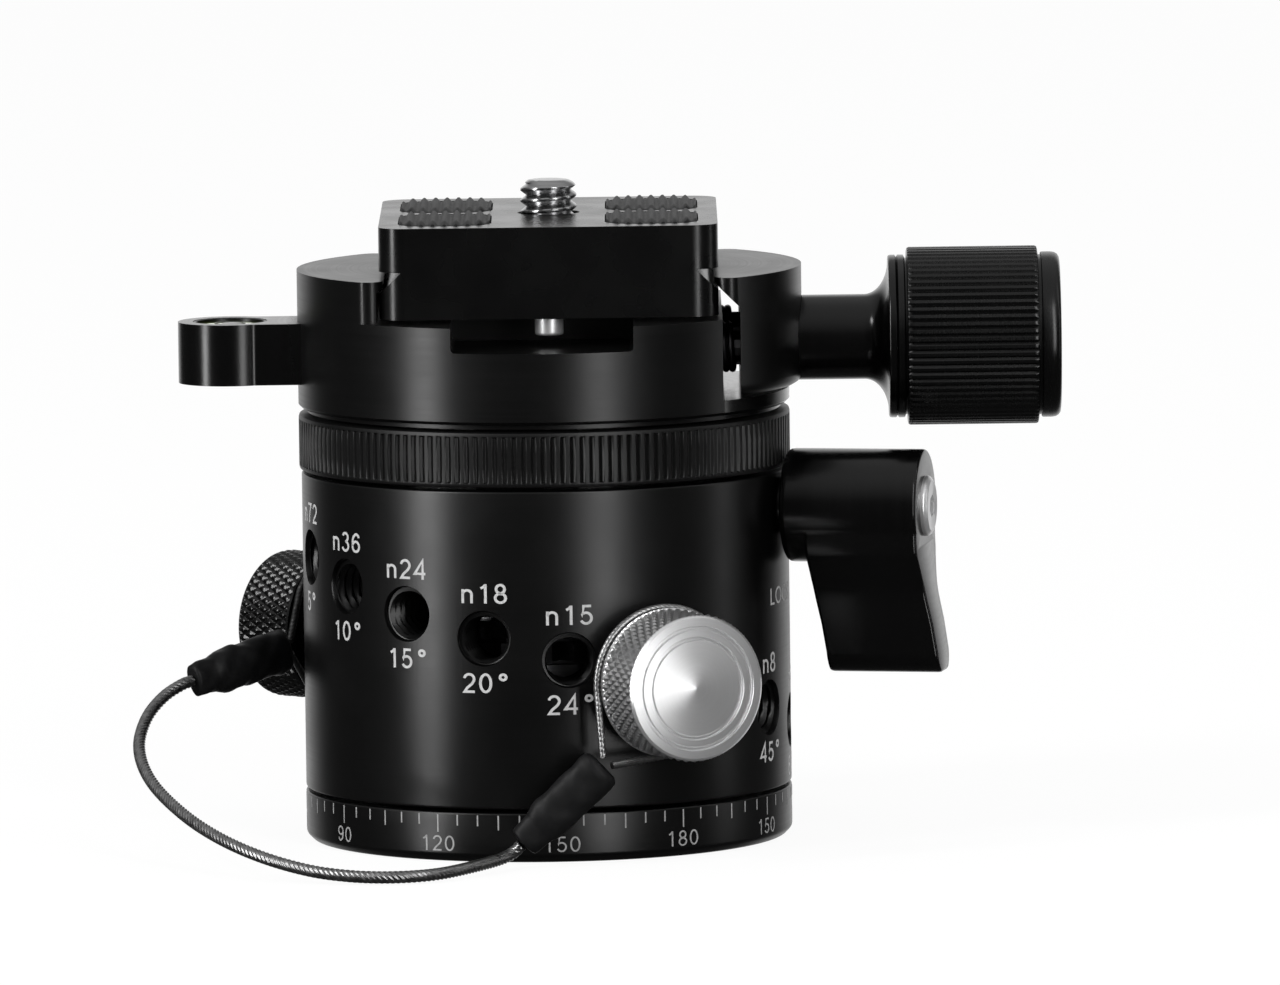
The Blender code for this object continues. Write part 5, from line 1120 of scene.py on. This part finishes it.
# lock lever
# paddle: at each drop below the hub's axis a round-cornered section, w(drop) wide and moved out by s(drop)
def makePaddle(place, end):
    long, corner, edge = lever["paddleLength"], lever["tipRound"], lever["paddleEdge"]
    half = lever["paddleDepth"] / 2
    right = smoothPath([(w * lever["radius"], d * long, 0) for w, d in lever["side"]], 8)[:, :2]
    tip = arcPoints((lever["tip"] - corner, long - corner), corner, 0, 90, 24)
    slope = smoothPath([(out, drop, 0) for out, drop in lever["slope"]], 14)
    rows = []
    for width, drop in np.concatenate([right, tip]):
        out = np.interp(drop, slope[:, 1], slope[:, 0])
        inset = edge * (1 - math.sqrt(1 - min(1.0, max(0.0, (drop - long + edge) / edge)) ** 2))
        section = roundedBox(width, half - inset, edge, 4)
        depth = section[:, 1] + end - half + out
        rows.append(np.column_stack([section[:, 0], np.full(len(section), -drop), depth]))
    return surface("paddle", np.array(rows), closeColumns=True, place=place, capEnds=True)


def makeLever():
    place = radialPlace(lever["angle"], lever["height"])
    start, end, radius = lever["start"], lever["start"] + lever["length"], lever["radius"]
    outline = [(0, end), (radius, end, 0.4), (radius, start, 0.8), (0, start)]
    hub = lathe("lockLever", outline, 128, place, closed=False)
    carve(hub, [makePaddle(place, end)], "UNION")
    seat, wide = end - lever["headSeat"], lever["headRadius"]
    bore = [(0, start - 2), (3.15, start - 2), (3.15, start + 9.8), (1.9, start + 9.8), (1.9, seat - 0.3),
            (wide + 0.55, seat - 0.3), (wide + 0.55, end - 0.15), (wide + 0.75, end + 0.05),
            (wide + 0.75, end + 2), (0, end + 2)]
    carve(hub, [lathe("tool", bore, 72, place)])
    hub.data.set_sharp_from_angle(angle=math.radians(35))
    dress(hub, "lever", "black_aluminium", blackLever, "lock_lever")
    top, shank, shankEnd = seat + lever["headHeight"], 1.6, start + 4.5
    outline = [(0, top - 0.05), (wide - 0.75, top - 0.05), (wide - 0.55, top, 0.1), (wide, top - 0.35, 0.2),
               (wide, seat), (shank, seat), (shank, shankEnd), (0, shankEnd)]
    screw = lathe("leverScrew", outline, 96, place, closed=False)
    carve(screw, [prism("tool", arcPoints((0, 0), 1.3, 15, 315, 5), top - 1.6, top + 2, place)])
    softEdges(screw, 0.08)
    dress(screw, "lever", "steel", steelLever, "lever_screw")


makeLever()
print("lever made")

# side knobs
# round knob with a crossed knurl: r drops by depth * clip(1.35 max(wave(a), wave(b)) - 0.35),
# a and b the two helices; grooves are rings turned into the end face
def makeSideKnob(name, radius, place, material, body, slot, node, grooves):
    grip, end, neck = sideKnob["grip"], sideKnob["end"], sideKnob["neck"]
    turns, pitch = sideKnob["knurls"], (end - grip - 1.0) / sideKnob["knurlRows"]

    def knurl(u, r, h):
        along, climb = u * turns / (2 * math.pi), (h - grip) / pitch / 2
        highest = np.maximum(triangleWave(along + climb), triangleWave(along - climb))
        cut = np.clip(1.35 * highest - 0.35, 0, 1)
        inside = (r > radius - 0.02) & (h > grip + 0.35) & (h < end - 0.45)
        return np.where(inside, -sideKnob["knurlDepth"] * cut, 0.0)

    outline = [(0, sideKnob["start"]), (neck, sideKnob["start"], 0.15), (neck, grip, 0.25), (radius - 0.4, grip),
               (radius - 0.1, grip + 0.1), (radius, grip + 0.34)]
    outline += [(radius, z) for z in np.arange(grip + 0.4, end - 0.49, 0.09)]
    outline += [(radius, end - 0.5), (radius - 0.15, end - 0.35), (radius - 0.3, end - 0.15),
                (radius - 0.45, end)]
    for mid in grooves:
        outline += [(mid + 0.25, end), (mid + 0.12, end - 0.25), (mid - 0.12, end - 0.25), (mid - 0.25, end)]
    if grooves:
        outline += [(grooves[-1] - 0.3, end), (2.5, end - 0.03), (0.0, end - 0.05)]
    else:
        outline += [(6.6, end, 0.1), (6.4, end - 0.2, 0.1), (0, end - 0.2)]
    piece = lathe(name, outline, turns * 8, place, closed=False, relief=knurl, sharp=40.0)
    dress(piece, body, slot, material, node)


makeSideKnob("detentKnob", sideKnob["radius"], radialPlace(detentAngle, detentHeight), silverKnobTurned,
             "detent_knob", "silver_aluminium", "detent_knob", (6.75, 5.55))
makeSideKnob("dragKnob", drag["radius"], radialPlace(drag["angle"], drag["height"]), blackDrag,
             "drag_knob", "black_aluminium", "drag_knob", ())
detentSpring = coilSpring("detentSpring", 1.2, 0.22, 6, 28.47, 36.0, radialPlace(detentAngle, detentHeight))
dress(detentSpring, "detent_pin", "steel", steelUpright, "detent_spring")
print("side knobs made")

# solids that stay as they are: only their material is new
keptNodes = {"index_drum": steelDrum, "head_cap": blackUpright, "knob_washer": steelSide,
             "lever_stud": blackLever}
nylonNodes = ("lower_washer", "upper_washer", "clamp_washer", "brake_pad", "drag_shoe")
steelNodes = ("pivot_bolt", "drum_screw_1", "drum_screw_2", "drum_screw_3", "cap_screw_1", "cap_screw_2",
              "cap_screw_3", "cap_screw_4", "detent_pin", "detent_sleeve", "drag_stud")
darkNodes = ("guide_pin_front", "guide_pin_rear", "clamp_screw")
for names, material in ((nylonNodes, nylonPlain), (steelNodes, steelUpright), (darkNodes, darkSide)):
    keptNodes.update(dict.fromkeys(names, material))
for node, material in keptNodes.items():
    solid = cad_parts[node]
    solid.data.materials.clear()
    solid.data.materials.append(material)
print("solids dressed:", len(keptNodes))

# studio
studio = {"floorHalf": 1500.0, "floorGrey": 0.86, "floorGlow": 1.05, "floorShare": 0.88,
          "behind": (0.70, 0.96), "above": (0.15, 0.9), "front": 0.05, "ambient": 0.45, "ceiling": 0.5,
          "lamps": (("leftStrip", -57.0, 1.1, 0.34, 0.22, 1.3, 12.6),
                    ("rightBox", 27.0, 1.1, 0.34, 0.25, 1.3, 6.2),
                    ("rightStrip", 92.0, 1.1, 0.34, 0.12, 1.2, 2.2))}


# white behind the object for camera, glass and gloss; a dim room in front, which only gloss sees
def makeWorld():
    world = bpy.data.worlds.new("studioRoom")
    bpy.context.scene.world = world
    nodes = Nodes(world, "Background")
    split = nodes.add("ShaderNodeSeparateXYZ")
    nodes.join(nodes.add("ShaderNodeTexCoord").outputs["Generated"], split.inputs[0])
    behind = nodes.ramp(split.outputs[1], *studio["behind"], studio["front"], 1.0, "SMOOTHSTEP")
    above = nodes.ramp(split.outputs[2], *studio["above"], 0.0, studio["ceiling"])
    gloss, seen = nodes.add("ShaderNodeMix"), nodes.add("ShaderNodeMix")
    nodes.feed((gloss.inputs[0], gloss.inputs[2], gloss.inputs[3]),
               (nodes.rays("Is Glossy Ray"), studio["ambient"], nodes.math("MAXIMUM", behind, above)))
    nodes.feed((seen.inputs[0], seen.inputs[2], seen.inputs[3]),
               (nodes.rays("Is Camera Ray", "Is Transmission Ray"), gloss.outputs[0], 1.0))
    nodes.put("Color", (1.0, 1.0, 1.0, 1.0))
    nodes.join(seen.outputs[0], nodes.main.inputs["Strength"])


# pale floor: white for the camera apart from a soft shadow under the object, clear for gloss
def makeFloor():
    half, grey = studio["floorHalf"], studio["floorGrey"]
    floor = prism("floor", [(-half, -half), (half, -half), (half, half), (-half, half)], -6.0, -0.05)
    nodes = Nodes(bpy.data.materials.new("paleFloor"))
    nodes.put("Base Color", (grey, grey, grey, 1.0))
    nodes.put("Roughness", 0.9)
    nodes.put("Specular IOR Level", 0.0)
    glow = nodes.add("ShaderNodeEmission")
    glow.inputs["Strength"].default_value = studio["floorGlow"]
    share = nodes.math("MULTIPLY", nodes.rays("Is Camera Ray", "Is Transmission Ray"), studio["floorShare"])
    mixer, chosen = nodes.add("ShaderNodeMixShader"), nodes.add("ShaderNodeMixShader")
    nodes.feed(mixer.inputs, (share, nodes.main.outputs[0], glow.outputs[0]))
    clear = nodes.add("ShaderNodeBsdfTransparent")
    nodes.feed(chosen.inputs, (nodes.rays("Is Glossy Ray"), mixer.outputs[0], clear.outputs[0]))
    nodes.join(chosen.outputs[0], nodes.tree.nodes["Material Output"].inputs["Surface"])
    floor.data.materials.append(nodes.owner)


# upright soft boxes round the object: name, angle, distance, height, width, tall, radiance
def makeLamps():
    for name, angle, distance, height, width, tall, radiance in studio["lamps"]:
        turn = math.radians(angle)
        spot = Vector((math.sin(turn) * distance, -math.cos(turn) * distance, height))
        data = bpy.data.lights.new(name, "AREA")
        data.shape, data.size, data.size_y = "RECTANGLE", width, tall
        data.energy = radiance * math.pi * width * tall
        lamp = bpy.data.objects.new(name, data)
        bpy.context.scene.collection.objects.link(lamp)
        lamp.location = spot
        lamp.rotation_euler = (Vector((0, 0, 0.04)) - spot).to_track_quat("-Z", "Y").to_euler()
        lamp.visible_camera = False


makeWorld()
makeFloor()
makeLamps()
bpy.context.scene.view_settings.view_transform = "Standard"
print("studio ready")
